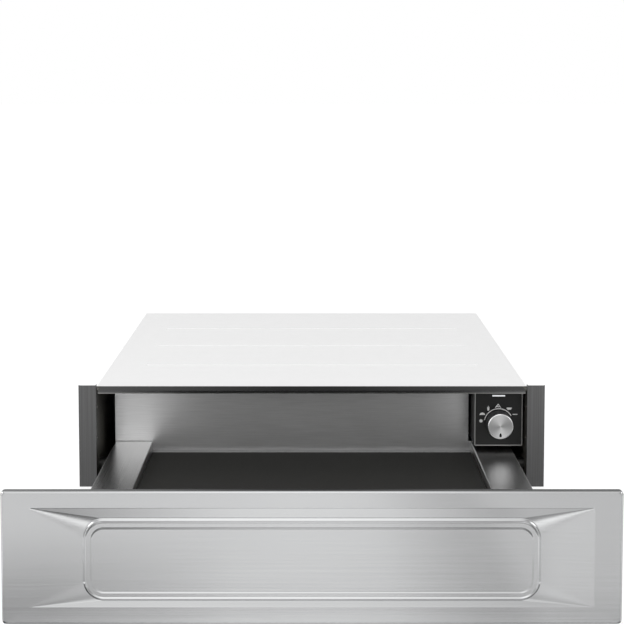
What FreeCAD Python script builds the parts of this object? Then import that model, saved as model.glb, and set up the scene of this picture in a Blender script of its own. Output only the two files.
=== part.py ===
import FreeCAD, Part
import math
import os

import Sketcher
from FreeCAD import Placement, Rotation, Vector

# A built-in warming drawer for a 60 cm cabinet column, pulled out to its stop.
# X runs to the right as seen from the front, Y to the back and Z up. The origin is on the niche
# floor, under the middle of the housing's front edge. Everything on the drawer is first placed as
# if the drawer were shut, and then moved forward by the travel.

DRIVING_SIZES = {
    # Pressed front panel
    "front_width": 597,
    "front_height": 131,
    "front_lift": 2,
    "front_edge": 7,
    "front_skin": 0.8,
    "front_corner": 4,
    "front_rounding": 3,
    "backing_sheet": 0.8,
    "recess_side_margin": 27.2,
    "recess_end_margin": 17.5,
    "recess_corner": 1.5,
    "recess_depth": 5,
    "island_side_margin": 78.1,
    "island_low_margin": 22.4,
    "island_high_margin": 30.2,
    "island_corner": 20,
    "bead_depth": 3.6,
    "bead_rise_width": 1.4,
    "bead_crest_width": 0.4,
    "bead_fall_width": 1.6,
    "ledge_depth": 4.2,
    "ledge_width": 3,
    "field_fall_width": 2.2,
    # Housing
    "front_overlap": 20.5,
    "housing_depth": 535,
    "housing_sheet": 1,
    "cover_top": 126.3,
    "cover_skirt": 11,
    "cover_bead_width": 10,
    "cover_bead_rise": 0.8,
    "wall_flange": 12,
    "front_rail_rise": 5,
    "rear_rail_rise": 12,
    "trim_sheet": 0.8,
    "trim_inside": 1.8,
    "trim_lift": 1,
    "trim_return": 6,
    "trim_edge": 3,
    "rail_depth": 23,
    "rail_lip": 3.8,
    "rail_end_gap": 2.4,
    "fixing_setback": 14,
    "fixing_low": 62,
    "fixing_pitch": 40,
    "fixing_radius": 2.25,
    "baffle_setback": 52,
    # Drawer
    "travel": 410,
    "closed_gap": 3,
    "tray_length": 473,
    "tray_sheet": 1,
    "rim_top": 42.9,
    "rim_width": 49.5,
    "rim_wall_gap": 16,
    "rim_overhang": 13.5,
    "rim_rear_relief": 2,
    "tray_floor": 29.5,
    "skirt_low": 8,
    "bend_radius": 1.5,
    "wall_top": 112,
    "wall_hem": 6,
    "mat_thick": 1.5,
    "mat_margin": 0.5,
    "mat_rear_gap": 10.5,
    "mat_corner": 1.5,
    # Ball runners
    "runner_middle_height": 22,
    "runner_start": 15,
    "runner_length": 450,
    "runner_thickness": 12.7,
    "member_sheet": 1.2,
    "inner_member_height": 16,
    "inner_member_depth": 7,
    "ball_diameter": 3,
    "ball_play": 0.3,
    "ball_line": 5.4,
    "cage_length": 200,
    "cage_sheet": 0.6,
    "cage_width": 4.6,
    "boss_radius": 8,
    "bracket_sheet": 1,
    # Controls
    "control_width": 62.1,
    "control_wall_gap": 3.5,
    "control_low": 49,
    "control_setback": 20,
    "control_depth": 108,
    "fascia_thick": 2,
    "fascia_top_gap": 1,
    "fascia_rim": 1.1,
    "fascia_rim_rise": 0.6,
    "fascia_corner": 1.5,
    "knob_left_offset": 31.2,
    "knob_height": 78.9,
    "knob_radius": 16.9,
    "knob_face_radius": 16.2,
    "knob_reach": 18.6,
    "knob_gap": 0.6,
    "cap_thick": 1.6,
    "spindle_radius": 3,
    "spindle_play": 0.06,
    "bush_radius": 5,
    "thermostat_half": 16,
    "thermostat_depth": 27.5,
    "thermostat_corner": 3,
    "spindle_reach": 13.4,
    "capillary_radius": 1,
    "capillary_bend": 15,
    "capillary_lift": 4,
    "capillary_drop": 30,
    "capillary_climb": 40,
    "sensor_radius": 3.2,
    "sensor_length": 80,
    "sensor_setback": 90,
    "lens_width": 16.5,
    "lens_height": 2.6,
    "lens_height_above_floor": 113.4,
    "lens_left_offset": 22.8,
    "lamp_inset": 1,
    "lamp_holder_depth": 6,
    "lamp_radius": 2.6,
    "lamp_length": 12,
    # Heating and air
    "tube_radius": 3.25,
    "tube_height": 16,
    "tube_pitch": 66,
    "tube_bend": 30,
    "tube_front": 150,
    "tube_rear": 420,
    "reflector_front": 100,
    "reflector_length": 360,
    "reflector_margin": 35,
    "reflector_rise": 5.8,
    "reflector_sheet": 0.8,
    "support_thick": 8,
    "support_margin": 45,
    "fan_height": 64,
    "fan_radius": 44,
    "fan_gap": 5,
    "fan_depth": 13,
    "fan_plate": 1,
    "fan_hub": 7,
    "shaft_radius": 2,
    "shaft_play": 0.05,
    "motor_radius": 24,
    "motor_length": 20,
    "strap_half": 56,
    "strap_sheet": 1.2,
    "strap_width": 26,
    "grille_slot_width": 5,
    "outlet_tall": 5,
    "cooling_slot_tall": 4,
    "cutout_radius": 8,
    "cutout_depth": 6,
    "cutout_tab_depth": 9,
    "terminal_width": 42,
    "terminal_tall": 22,
    "terminal_depth": 16,
    "terminal_lift": 10,
    "terminal_way_radius": 3.2,
    "terminal_way_inset": 8,
    "gland_across": 190,
    "gland_height": 40,
    "gland_radius": 9,
    "gland_flange": 3,
    "gland_inside": 8,
    "gland_outside": 9,
    "gland_play": 0.1,
    "cord_radius": 3.6,
    # Latch and stops
    "latch_setback": 22,
    "latch_length": 62,
    "latch_half": 11,
    "latch_tall": 20,
    "plunger_radius": 4,
    "plunger_reach": 8,
    "plunger_play": 0.3,
    "striker_gap": 0.4,
    "striker_sheet": 1.2,
    "bumper_radius": 5,
    "bumper_play": 0.3,
    "bumper_inset": 11,
    # Fasteners
    "screw_radius": 1.9,
    "screw_head_radius": 3.6,
    "screw_head_tall": 1.8,
    "screw_play": 0.15,
}

TUBE_RUNS = 6
CAGE_BALLS = 3
FAN_BLADES = 18
GRILLE_SLOTS = 12

# Corner radius of a round-ended slot as a share of its width.
SLOT_ROUNDING = 0.48

DOC = FreeCAD.newDocument("WarmingDrawer")
SHEET = DOC.addObject("Spreadsheet::Sheet", "Sizes")
NODES = {}


def fill_sheet():
    """Writes one driving size to each row of the sheet, with its name as the alias."""
    for row, (alias, value) in enumerate(DRIVING_SIZES.items(), start=1):
        SHEET.set(f"A{row}", alias.replace("_", " "))
        SHEET.set(f"B{row}", str(value))
        SHEET.setAlias(f"B{row}", alias)
    DOC.recompute()


class Size:
    """A length from the sheet, or one worked out from such lengths: its value and its expression."""

    def __init__(self, value, text):
        self.value = float(value)
        self.text = text

    def __add__(self, other):
        other = as_size(other)
        return Size(self.value + other.value, f"({self.text} + {other.text})")

    def __sub__(self, other):
        other = as_size(other)
        return Size(self.value - other.value, f"({self.text} - {other.text})")

    def __mul__(self, other):
        other = as_size(other)
        return Size(self.value * other.value, f"({self.text} * {other.text})")

    def __truediv__(self, other):
        other = as_size(other)
        return Size(self.value / other.value, f"({self.text} / {other.text})")

    def __neg__(self):
        return Size(-self.value, f"(0 - {self.text})")

    def __radd__(self, other):
        return as_size(other) + self

    def __rsub__(self, other):
        return as_size(other) - self

    def __rmul__(self, other):
        return as_size(other) * self


def as_size(length):
    """A plain number as a Size; a Size is left as it is."""
    if isinstance(length, Size):
        return length
    return Size(length, repr(float(length)))


class SheetSizes:
    """Reads a driving size from the sheet by its alias."""

    def __getattr__(self, alias):
        return Size(getattr(SHEET, alias), f"Sizes.{alias}")


def bind(thing, path, length):
    """Ties a property of an object to the sheet."""
    thing.setExpression(path, as_size(length).text)


# ---------------------------------------------------------------------------
# Ways of making a piece
# ---------------------------------------------------------------------------


def new_body(node):
    """A PartDesign body that becomes one node."""
    body = DOC.addObject("PartDesign::Body", node)
    body.Label = node
    return body


def keep(node, thing):
    """Names a finished object as a node, to be checked and written at the end."""
    thing.Label = node
    NODES[node] = thing
    return thing


def origin_part(body, role):
    """The origin plane or axis of a body with this role."""
    return next(o for o in body.Origin.OriginFeatures if o.Role == role)


def new_sketch(body, plane, place=0, centre=(0, 0)):
    """A sketch on the XY, XZ or YZ plane, moved along the plane's world axis to place."""
    sketch = body.newObject("Sketcher::SketchObject", f"{body.Name}_sketch")
    sketch.AttachmentSupport = [(origin_part(body, f"{plane}_Plane"), "")]
    sketch.MapMode = "FlatFace"
    lift = -as_size(place) if plane == "XZ" else as_size(place)
    bind(sketch, "AttachmentOffset.Base.x", centre[0])
    bind(sketch, "AttachmentOffset.Base.y", centre[1])
    bind(sketch, "AttachmentOffset.Base.z", lift)
    return sketch


def hold(sketch, kind, items, length):
    """Adds a sketch constraint whose length is tied to the sheet."""
    length = as_size(length)
    index = sketch.addConstraint(Sketcher.Constraint(kind, *items, length.value))
    bind(sketch, f"Constraints[{index}]", length)


def polygon(sketch, corners):
    """A closed outline of straight sides through corners, each pinned to the sketch's origin."""
    first = sketch.GeometryCount
    count = len(corners)
    spots = [(as_size(a), as_size(b)) for a, b in corners]
    for i, (a, b) in enumerate(spots):
        c, d = spots[(i + 1) % count]
        line = Part.LineSegment(Vector(a.value, b.value, 0), Vector(c.value, d.value, 0))
        sketch.addGeometry(line, False)
    for i, (a, b) in enumerate(spots):
        joined = (first + i, 2, first + (i + 1) % count, 1)
        sketch.addConstraint(Sketcher.Constraint("Coincident", *joined))
        hold(sketch, "DistanceX", (-1, 1, first + i, 1), a)
        hold(sketch, "DistanceY", (-1, 1, first + i, 1), b)


def rectangle(sketch, across, up):
    """A rectangle between two places along each of the sketch's directions."""
    (left, right), (low, high) = across, up
    polygon(sketch, [(left, low), (right, low), (right, high), (left, high)])


def rounded(sketch, across, up, radius):
    """A rectangle with round corners, as four sides and four tangent arcs."""
    left, right = map(as_size, across)
    low, high = map(as_size, up)
    round_off = as_size(radius)
    x0, x1, y0, y1, r = left.value, right.value, low.value, high.value, round_off.value
    sides = [
        ((x0 + r, y0), (x1 - r, y0)),
        ((x1, y0 + r), (x1, y1 - r)),
        ((x1 - r, y1), (x0 + r, y1)),
        ((x0, y1 - r), (x0, y0 + r)),
    ]
    centres = [(x1 - r, y0 + r), (x1 - r, y1 - r), (x0 + r, y1 - r), (x0 + r, y0 + r)]
    first = sketch.GeometryCount
    quarter = math.pi / 2
    for i, ((a, b), (u, v)) in enumerate(zip(sides, centres)):
        sketch.addGeometry(Part.LineSegment(Vector(*a, 0), Vector(*b, 0)), False)
        circle = Part.Circle(Vector(u, v, 0), Vector(0, 0, 1), r)
        sketch.addGeometry(Part.ArcOfCircle(circle, (i - 1) * quarter, i * quarter), False)
    for i in range(4):
        side, arc, after = first + 2 * i, first + 2 * i + 1, first + (2 * i + 2) % 8
        sketch.addConstraint(Sketcher.Constraint("Tangent", side, 2, arc, 1))
        sketch.addConstraint(Sketcher.Constraint("Tangent", arc, 2, after, 1))
        sketch.addConstraint(Sketcher.Constraint("Horizontal" if i % 2 == 0 else "Vertical", side))
    for i in range(3):
        sketch.addConstraint(Sketcher.Constraint("Equal", first + 1, first + 2 * i + 3))
    hold(sketch, "Radius", (first + 1,), round_off)
    hold(sketch, "DistanceX", (-1, 1, first + 6, 1), left)
    hold(sketch, "DistanceX", (-1, 1, first + 2, 1), right)
    hold(sketch, "DistanceY", (-1, 1, first, 1), low)
    hold(sketch, "DistanceY", (-1, 1, first + 4, 1), high)


def circles(sketch, centres, radius):
    """Equal circles at centres."""
    radius = as_size(radius)
    for across, up in centres:
        across, up = as_size(across), as_size(up)
        middle = Vector(across.value, up.value, 0)
        index = sketch.addGeometry(Part.Circle(middle, Vector(0, 0, 1), radius.value), False)
        hold(sketch, "Radius", (index,), radius)
        hold(sketch, "DistanceX", (-1, 1, index, 3), across)
        hold(sketch, "DistanceY", (-1, 1, index, 3), up)


def faces_back(sketch):
    """Whether the sketch's normal points to the front, against +Y."""
    return sketch.AttachmentSupport[0][0].Role == "XZ_Plane"


def pad(body, sketch, length):
    """Thickens a sketch towards the positive world axis."""
    feature = body.newObject("PartDesign::Pad", f"{body.Name}_pad")
    feature.Profile = sketch
    feature.Reversed = faces_back(sketch)
    bind(feature, "Length", length)
    return feature


def pocket(body, sketch, depth):
    """Cuts a sketch out of the body towards the positive world axis."""
    feature = body.newObject("PartDesign::Pocket", f"{body.Name}_pocket")
    feature.Profile = sketch
    feature.Reversed = not faces_back(sketch)
    bind(feature, "Length", depth)
    return feature


def row_of(body, feature, role, length, count):
    """Repeats a feature in a straight row along one of the body's axes."""
    pattern = body.newObject("PartDesign::LinearPattern", f"{body.Name}_row")
    pattern.Originals = [feature]
    pattern.Direction = (origin_part(body, role), [""])
    bind(pattern, "Length", length)
    pattern.Occurrences = count
    body.Tip = pattern
    return pattern


def ring_of(body, feature, sketch, count):
    """Repeats a feature round the normal through a sketch's own centre."""
    pattern = body.newObject("PartDesign::PolarPattern", f"{body.Name}_ring")
    pattern.Originals = [feature]
    pattern.Axis = (sketch, ["N_Axis"])
    pattern.Angle = 360
    pattern.Occurrences = count
    body.Tip = pattern
    return pattern


def turned(body, corners):
    """A solid of revolution about the body's own Z axis, from an outline in radius and height."""
    sketch = new_sketch(body, "XZ")
    polygon(sketch, corners)
    feature = body.newObject("PartDesign::Revolution", f"{body.Name}_turned")
    feature.Profile = sketch
    feature.ReferenceAxis = (sketch, ["V_Axis"])
    feature.Angle = 360
    return feature


def soften(body, picked, radius):
    """Rounds the edges of the body so far whose middle and direction the test picks."""
    DOC.recompute()
    base = body.Tip
    names = []
    for number, edge in enumerate(base.Shape.Edges, start=1):
        if picked(edge.CenterOfMass, edge.tangentAt(edge.FirstParameter)):
            names.append(f"Edge{number}")
    feature = body.newObject("PartDesign::Fillet", f"{body.Name}_fillet")
    feature.Base = (base, names)
    bind(feature, "Radius", radius)
    return feature


def place_body(body, across, along, up, turn=Rotation()):
    """Puts a body that is modelled about its own origin where it belongs."""
    body.Placement = Placement(Vector(), turn)
    bind(body, "Placement.Base.x", across)
    bind(body, "Placement.Base.y", along)
    bind(body, "Placement.Base.z", up)


def block(name, across, along, up):
    """A rectangular solid between two places on each of X, Y and Z."""
    solid = DOC.addObject("Part::Box", name)
    for side, axis, (low, high) in zip(("Length", "Width", "Height"), "xyz", (across, along, up)):
        bind(solid, side, as_size(high) - low)
        bind(solid, f"Placement.Base.{axis}", low)
    return solid


def rod(name, radius, start, length, turn):
    """A round bar from start, turned so that its axis runs along the wanted direction."""
    bar = DOC.addObject("Part::Cylinder", name)
    bar.Placement = Placement(Vector(), turn)
    bind(bar, "Radius", radius)
    bind(bar, "Height", length)
    for axis, spot in zip("xyz", start):
        bind(bar, f"Placement.Base.{axis}", spot)
    return bar


def joined(name, pieces):
    """One solid from several."""
    fused = DOC.addObject("Part::MultiFuse", name)
    fused.Shapes = pieces
    return fused


def less(name, base, tool):
    """A solid with another cut out of it."""
    cut = DOC.addObject("Part::Cut", name)
    cut.Base = base
    cut.Tool = tool
    return cut


def group_of(name, pieces):
    """Separate solids in one node."""
    group = DOC.addObject("Part::Compound", name)
    group.Links = pieces
    return group


def bent_tube(name, corners, bend, radius):
    """A round tube along straight runs joined by tangent arcs of one bend radius."""
    spots = [Vector(*corner) for corner in corners]
    edges = []
    start = spots[0]
    for before, here, after in zip(spots, spots[1:], spots[2:]):
        into, out = (here - before).normalize(), (after - here).normalize()
        half_turn = into.getAngle(out) / 2
        setback = bend * math.tan(half_turn)
        entry, leave = here - into * setback, here + out * setback
        inward = (out - into).normalize()
        middle = here + inward * (bend / math.cos(half_turn) - bend)
        edges.append(Part.LineSegment(start, entry).toShape())
        edges.append(Part.Arc(entry, middle, leave).toShape())
        start = leave
    edges.append(Part.LineSegment(start, spots[-1]).toShape())
    path = Part.Wire(edges)
    ring = Part.Wire(Part.makeCircle(radius, spots[0], spots[1] - spots[0]))
    tube = DOC.addObject("Part::Feature", name)
    tube.Shape = path.makePipeShell([ring], True, False)
    return tube


fill_sheet()
S = SheetSizes()
ALONG_X = Rotation(Vector(0, 1, 0), 90)
TO_BACK = Rotation(Vector(1, 0, 0), -90)
TO_FRONT = Rotation(Vector(1, 0, 0), 90)

HALF_FRONT = S.front_width / 2
HALF_HOUSING = HALF_FRONT - S.front_overlap
HALF_INSIDE = HALF_HOUSING - S.housing_sheet
RIM_HALF = HALF_INSIDE - S.rim_wall_gap
SKIRT_HALF = RIM_HALF - S.rim_overhang
RIM_UNDER = S.rim_top - S.tray_sheet * 2
WELL_HALF = RIM_HALF - S.rim_width
SHEET_TOP = S.cover_top - S.housing_sheet
BAFFLE = S.housing_depth - S.baffle_setback - S.housing_sheet
PANEL_BACK = -S.closed_gap
PANEL_FACE = PANEL_BACK - S.front_edge
TRAY_FRONT = PANEL_BACK + S.tray_sheet
TRAY_REAR = TRAY_FRONT + S.tray_length
CONTROL_RIGHT = HALF_INSIDE - S.control_wall_gap
CONTROL_LEFT = CONTROL_RIGHT - S.control_width
CONTROL_TOP = S.cover_top - S.rail_lip - S.fascia_top_gap
FASCIA_BACK = S.control_setback + S.fascia_thick
KNOB_ACROSS = CONTROL_LEFT + S.knob_left_offset


def opened(place, share=1):
    """Where a place on a sliding piece lies once the drawer is out; share is how much of it."""
    return place - S.travel * share


def side_place(side, place):
    """A distance from the middle plane, on the left (-1) or the right (1)."""
    return place * side


# ---------------------------------------------------------------------------
# Housing
# ---------------------------------------------------------------------------


def base_pan():
    """Floor sheet that stands in the niche, turned up at the front and at the rear."""
    body = new_body("base_pan")
    floor = new_sketch(body, "XY")
    rectangle(floor, (-HALF_HOUSING, HALF_HOUSING), (0, S.housing_depth))
    pad(body, floor, S.housing_sheet)
    rail_half = HALF_INSIDE - S.wall_flange - S.housing_sheet
    front = new_sketch(body, "XZ")
    rectangle(front, (-rail_half, rail_half), (0, S.front_rail_rise))
    pad(body, front, S.housing_sheet)
    rear = new_sketch(body, "XZ", S.housing_depth - S.housing_sheet * 2)
    rectangle(rear, (-rail_half, rail_half), (0, S.rear_rail_rise))
    pad(body, rear, S.housing_sheet)
    keep("base_pan", body)


def side_wall(node, side):
    """Upright sheet with inward flanges, and two holes for the screws into the cabinet's side panel."""
    body = new_body(node)
    inner, outer = HALF_INSIDE, HALF_HOUSING
    low, high = S.housing_sheet, SHEET_TOP
    tuck = inner - S.wall_flange
    rear = S.housing_depth - S.housing_sheet * 2
    web = new_sketch(body, "XZ", S.trim_sheet)
    rectangle(web, (side_place(side, inner), side_place(side, outer)), (low, high))
    pad(body, web, rear - S.trim_sheet)
    flange_front = S.trim_sheet + S.trim_return
    flanges = new_sketch(body, "XZ", flange_front)
    for bottom in (low, high - S.housing_sheet):
        rectangle(flanges, (side_place(side, tuck), side_place(side, outer)),
                  (bottom, bottom + S.housing_sheet))
    pad(body, flanges, rear - flange_front)
    holes = new_sketch(body, "YZ", side_place(side, inner) if side > 0 else -outer)
    spots = [(S.fixing_setback, S.fixing_low), (S.fixing_setback, S.fixing_low + S.fixing_pitch)]
    circles(holes, spots, S.fixing_radius)
    pocket(body, holes, S.housing_sheet)
    screws = new_sketch(body, "YZ", side_place(side, inner) if side > 0 else -outer)
    circles(screws, cover_screw_spots(), S.screw_radius + S.screw_play)
    pocket(body, screws, S.housing_sheet)
    keep(node, body)


def cover_screw_spots():
    """Places on the side walls, as Y and Z, of the screws that hold the cover."""
    height = S.cover_top - S.cover_skirt / 2
    first = S.rail_depth * 3
    last = S.housing_depth - S.rail_depth * 2
    return [(first, height), ((first + last) / 2, height), (last, height)]


def top_cover():
    """Lid with turned-down edges outside the walls and pressed stiffening beads across it."""
    body = new_body("top_cover")
    outer = HALF_HOUSING + S.housing_sheet
    low = S.cover_top - S.cover_skirt
    profile = new_sketch(body, "XZ", S.rail_depth)
    polygon(profile, [
        (-outer, low), (-outer, S.cover_top), (outer, S.cover_top), (outer, low),
        (HALF_HOUSING, low), (HALF_HOUSING, SHEET_TOP), (-HALF_HOUSING, SHEET_TOP), (-HALF_HOUSING, low),
    ])
    pad(body, profile, S.housing_depth - S.rail_depth)
    rear = new_sketch(body, "XZ", S.housing_depth)
    rectangle(rear, (-outer, outer), (low, S.cover_top))
    pad(body, rear, S.housing_sheet)
    spacing = (S.housing_depth - S.rail_depth) / 4
    bead = new_sketch(body, "XY", S.cover_top)
    reach = HALF_HOUSING - S.rail_depth * 2
    first = S.rail_depth + spacing
    half_bead = S.cover_bead_width / 2
    rounded(bead, (-reach, reach), (first - half_bead, first + half_bead), half_bead - S.cover_bead_rise)
    raised = pad(body, bead, S.cover_bead_rise)
    row_of(body, raised, "Y_Axis", spacing * 2, 3)
    screws = new_sketch(body, "YZ", -outer)
    circles(screws, cover_screw_spots(), S.screw_radius + S.screw_play)
    pocket(body, screws, outer * 2)
    keep("top_cover", body)


def rear_screw_spots():
    """Places on the rear panel, as X and Z, of the screws into the base pan's rear rail."""
    height = (S.housing_sheet + S.rear_rail_rise) / 2
    reach = HALF_HOUSING * 0.8
    return [(-reach, height), (0, height), (reach, height)]


def rear_panel():
    """Back sheet with two fields of cooling slots and the hole for the cable gland."""
    body = new_body("rear_panel")
    sheet = new_sketch(body, "XZ", S.housing_depth - S.housing_sheet)
    rectangle(sheet, (-HALF_HOUSING, HALF_HOUSING), (S.housing_sheet, SHEET_TOP))
    pad(body, sheet, S.housing_sheet)
    slot = new_sketch(body, "XZ", S.housing_depth - S.housing_sheet)
    rows = (S.gland_height, S.gland_height + S.cooling_slot_tall)
    left = (-S.gland_across - S.tube_pitch / 2, -S.tube_pitch)
    right = (S.tube_pitch - S.tube_bend, S.gland_across - S.tube_bend)
    for across in (left, right):
        rounded(slot, across, rows, S.cooling_slot_tall * SLOT_ROUNDING)
    cut = pocket(body, slot, S.housing_sheet)
    row_of(body, cut, "Z_Axis", S.fan_height, 6)
    gland = new_sketch(body, "XZ", S.housing_depth - S.housing_sheet)
    circles(gland, [(S.gland_across, S.gland_height)], S.gland_radius + S.screw_play)
    pocket(body, gland, S.housing_sheet)
    screws = new_sketch(body, "XZ", S.housing_depth - S.housing_sheet)
    circles(screws, rear_screw_spots(), S.screw_radius + S.screw_play)
    pocket(body, screws, S.housing_sheet)
    keep("rear_panel", body)


def rear_baffle():
    """Partition in front of the fan, with its round grille, outlet slots and the heater's two holes."""
    body = new_body("rear_baffle")
    sheet = new_sketch(body, "XZ", BAFFLE)
    rectangle(sheet, (-HALF_INSIDE, HALF_INSIDE), (S.housing_sheet * 2, SHEET_TOP - S.housing_sheet))
    pad(body, sheet, S.housing_sheet)
    middle = (0, S.fan_height)
    slot = new_sketch(body, "XZ", BAFFLE, middle)
    half_slot = S.grille_slot_width / 2
    reach = (S.fan_hub * 1.5, S.fan_radius * 0.8)
    rounded(slot, (-half_slot, half_slot), reach, S.grille_slot_width * SLOT_ROUNDING)
    cut = pocket(body, slot, S.housing_sheet)
    ring_of(body, cut, slot, GRILLE_SLOTS)
    outlet = new_sketch(body, "XZ", BAFFLE)
    inner, far = S.fan_radius + S.tube_bend, HALF_INSIDE - S.tube_pitch
    for low, high in ((-far, -inner), (inner, far)):
        rounded(outlet, (low, high), (S.rim_top, S.rim_top + S.outlet_tall), S.outlet_tall * SLOT_ROUNDING)
    outlets = pocket(body, outlet, S.housing_sheet)
    row_of(body, outlets, "Z_Axis", S.fan_radius, 4)
    holes = new_sketch(body, "XZ", BAFFLE)
    ends = S.tube_pitch * (TUBE_RUNS - 1) / 2
    circles(holes, [(-ends, S.tube_height), (ends, S.tube_height)], S.tube_radius + S.screw_play)
    pocket(body, holes, S.housing_sheet)
    keep("rear_baffle", body)


def trim(node, side):
    """Upright front frame profile: a face that overlaps the cabinet, and a return inside the wall."""
    body = new_body(node)
    near, far = HALF_HOUSING - S.trim_inside, HALF_FRONT
    t = S.trim_sheet
    profile = new_sketch(body, "XY", S.trim_lift)
    corners = [
        (near, 0), (far, 0), (far, S.trim_edge), (far - t, S.trim_edge), (far - t, t),
        (near + t, t), (near + t, t + S.trim_return), (near, t + S.trim_return),
    ]
    polygon(profile, [(side_place(side, across), along) for across, along in corners])
    pad(body, profile, S.front_lift + S.front_height - S.trim_lift)
    keep(node, body)


def top_rail():
    """Front cross rail: a ledge level with the cover, and a lip turned down over the drawer's mouth."""
    body = new_body("top_rail")
    half = HALF_HOUSING - S.trim_inside - S.rail_end_gap
    profile = new_sketch(body, "YZ", -half)
    low, under = S.cover_top - S.rail_lip, SHEET_TOP
    polygon(profile, [
        (0, low), (S.housing_sheet, low), (S.housing_sheet, under), (S.rail_depth, under),
        (S.rail_depth, S.cover_top), (0, S.cover_top),
    ])
    pad(body, profile, half * 2)
    keep("top_rail", body)


def fasteners(node, spots, turn, grip):
    """Pan-head screws as separate solids: the head on the sheet and a plain shank through it."""
    pieces = []
    for number, (start, shank_start) in enumerate(spots, start=1):
        head = rod(f"{node}_head_{number}", S.screw_head_radius, start, S.screw_head_tall, turn)
        shank = rod(f"{node}_shank_{number}", S.screw_radius, shank_start, grip, turn)
        pieces.append(joined(f"{node}_{number}", [head, shank]))
    keep(node, group_of(node, pieces))


def cover_screws():
    """Three screws on each side, through the cover's edge into the wall."""
    spots = []
    outer = HALF_HOUSING + S.housing_sheet
    for along, up in cover_screw_spots():
        right = (outer, along, up)
        spots.append((right, (HALF_INSIDE, along, up)))
        left = (-outer - S.screw_head_tall, along, up)
        spots.append((left, (-outer - S.screw_head_tall, along, up)))
    fasteners("cover_screws", spots, ALONG_X, S.screw_head_tall + S.housing_sheet * 2)


def rear_screws():
    """Three screws through the rear panel, up to the base pan's rail."""
    spots = []
    inside = S.housing_depth - S.housing_sheet
    for across, up in rear_screw_spots():
        spots.append(((across, S.housing_depth, up), (across, inside, up)))
    fasteners("rear_screws", spots, TO_BACK, S.screw_head_tall + S.housing_sheet)


# ---------------------------------------------------------------------------
# Ball runners, one set on each side. Distances are out from the drawer's skirt.
# ---------------------------------------------------------------------------

BALL_GAP = S.ball_diameter + S.ball_play * 2
INNER_HALF = S.inner_member_height / 2
MIDDLE_HALF_INSIDE = INNER_HALF + BALL_GAP
MIDDLE_HALF = MIDDLE_HALF_INSIDE + S.member_sheet
FIXED_HALF_INSIDE = MIDDLE_HALF + BALL_GAP
FIXED_HALF = FIXED_HALF_INSIDE + S.member_sheet
INNER_CAGE_BACK = S.inner_member_depth + S.ball_play + S.cage_sheet
MIDDLE_BACK = INNER_CAGE_BACK + S.ball_play + S.member_sheet
OUTER_CAGE_BACK = MIDDLE_BACK + S.ball_play + S.cage_sheet


def channel(body, side, start, back, mouth, half, sheet, length):
    """A C-shaped member: its web, whose outer face is at back, and two flanges that end at mouth."""
    height = S.runner_middle_height
    web = back + sheet if mouth.value > back.value else back - sheet
    corners = [
        (mouth, height - half), (back, height - half), (back, height + half), (mouth, height + half),
        (mouth, height + half - sheet), (web, height + half - sheet),
        (web, height - half + sheet), (mouth, height - half + sheet),
    ]
    profile = new_sketch(body, "XZ", start)
    polygon(profile, [(side_place(side, SKIRT_HALF + out), up) for out, up in corners])
    return pad(body, profile, length)


def runner_bracket(node, side):
    """Strip with pressed bosses that spaces the fixed member off the wall."""
    body = new_body(node)
    near = SKIRT_HALF + S.runner_thickness
    far = near + S.bracket_sheet
    strip = new_sketch(body, "XZ", S.runner_start)
    sides = (side_place(side, near), side_place(side, far))
    low = S.runner_middle_height - FIXED_HALF_INSIDE
    high = S.runner_middle_height + FIXED_HALF_INSIDE
    rectangle(strip, (sides[0], sides[1]), (low, high))
    pad(body, strip, S.runner_length)
    boss_start = far if side > 0 else -HALF_INSIDE
    boss = new_sketch(body, "YZ", boss_start)
    first = S.runner_start + S.boss_radius * 2
    circles(boss, [(first, S.runner_middle_height)], S.boss_radius)
    raised = pad(body, boss, HALF_INSIDE - far)
    row_of(body, raised, "Y_Axis", S.runner_length - S.boss_radius * 4, 4)
    keep(node, body)


def runner_members(word, side):
    """The fixed, middle and drawer members of one runner."""
    mouth = S.ball_line - S.cage_width / 2
    fixed = new_body(f"runner_fixed_{word}")
    channel(fixed, side, S.runner_start, S.runner_thickness, mouth, FIXED_HALF, S.member_sheet,
            S.runner_length)
    keep(fixed.Label, fixed)
    middle = new_body(f"runner_middle_{word}")
    channel(middle, side, opened(S.runner_start, 0.5), MIDDLE_BACK, mouth, MIDDLE_HALF, S.member_sheet,
            S.runner_length)
    keep(middle.Label, middle)
    inner = new_body(f"runner_drawer_{word}")
    channel(inner, side, opened(S.runner_start), as_size(0), S.inner_member_depth, INNER_HALF,
            S.member_sheet, S.runner_length)
    keep(inner.Label, inner)


def ball_cage(node, side, share, back, row_half):
    """A folded retainer with two rows of ball pockets, and the balls, which run on the members' flanges."""
    body = new_body(node)
    shut_start = S.runner_start + (S.runner_length - S.cage_length) / 2
    start = opened(shut_start, share)
    half = row_half + S.cage_sheet / 2
    near = S.ball_line - S.cage_width / 2 + S.ball_play
    channel(body, side, start, back, near, half, S.cage_sheet, S.cage_length)
    pockets = new_sketch(body, "XY", S.runner_middle_height - half)
    across = side_place(side, SKIRT_HALF + S.ball_line)
    end_gap = S.cage_length / (CAGE_BALLS * 2)
    pitch = S.cage_length / CAGE_BALLS
    spots = [(across, start + end_gap + pitch * i) for i in range(CAGE_BALLS)]
    circles(pockets, spots, S.ball_diameter / 2 + S.ball_play / 2)
    pocket(body, pockets, half * 2)
    balls = []
    for row, lift in (("low", -row_half), ("high", row_half)):
        for number, (ball_across, ball_along) in enumerate(spots, start=1):
            ball = DOC.addObject("Part::Sphere", f"{node}_ball_{row}_{number}")
            bind(ball, "Radius", S.ball_diameter / 2)
            bind(ball, "Placement.Base.x", ball_across)
            bind(ball, "Placement.Base.y", ball_along)
            bind(ball, "Placement.Base.z", S.runner_middle_height + lift)
            balls.append(ball)
    body.Label = f"{node}_retainer"
    keep(node, group_of(node, [body] + balls))


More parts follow.
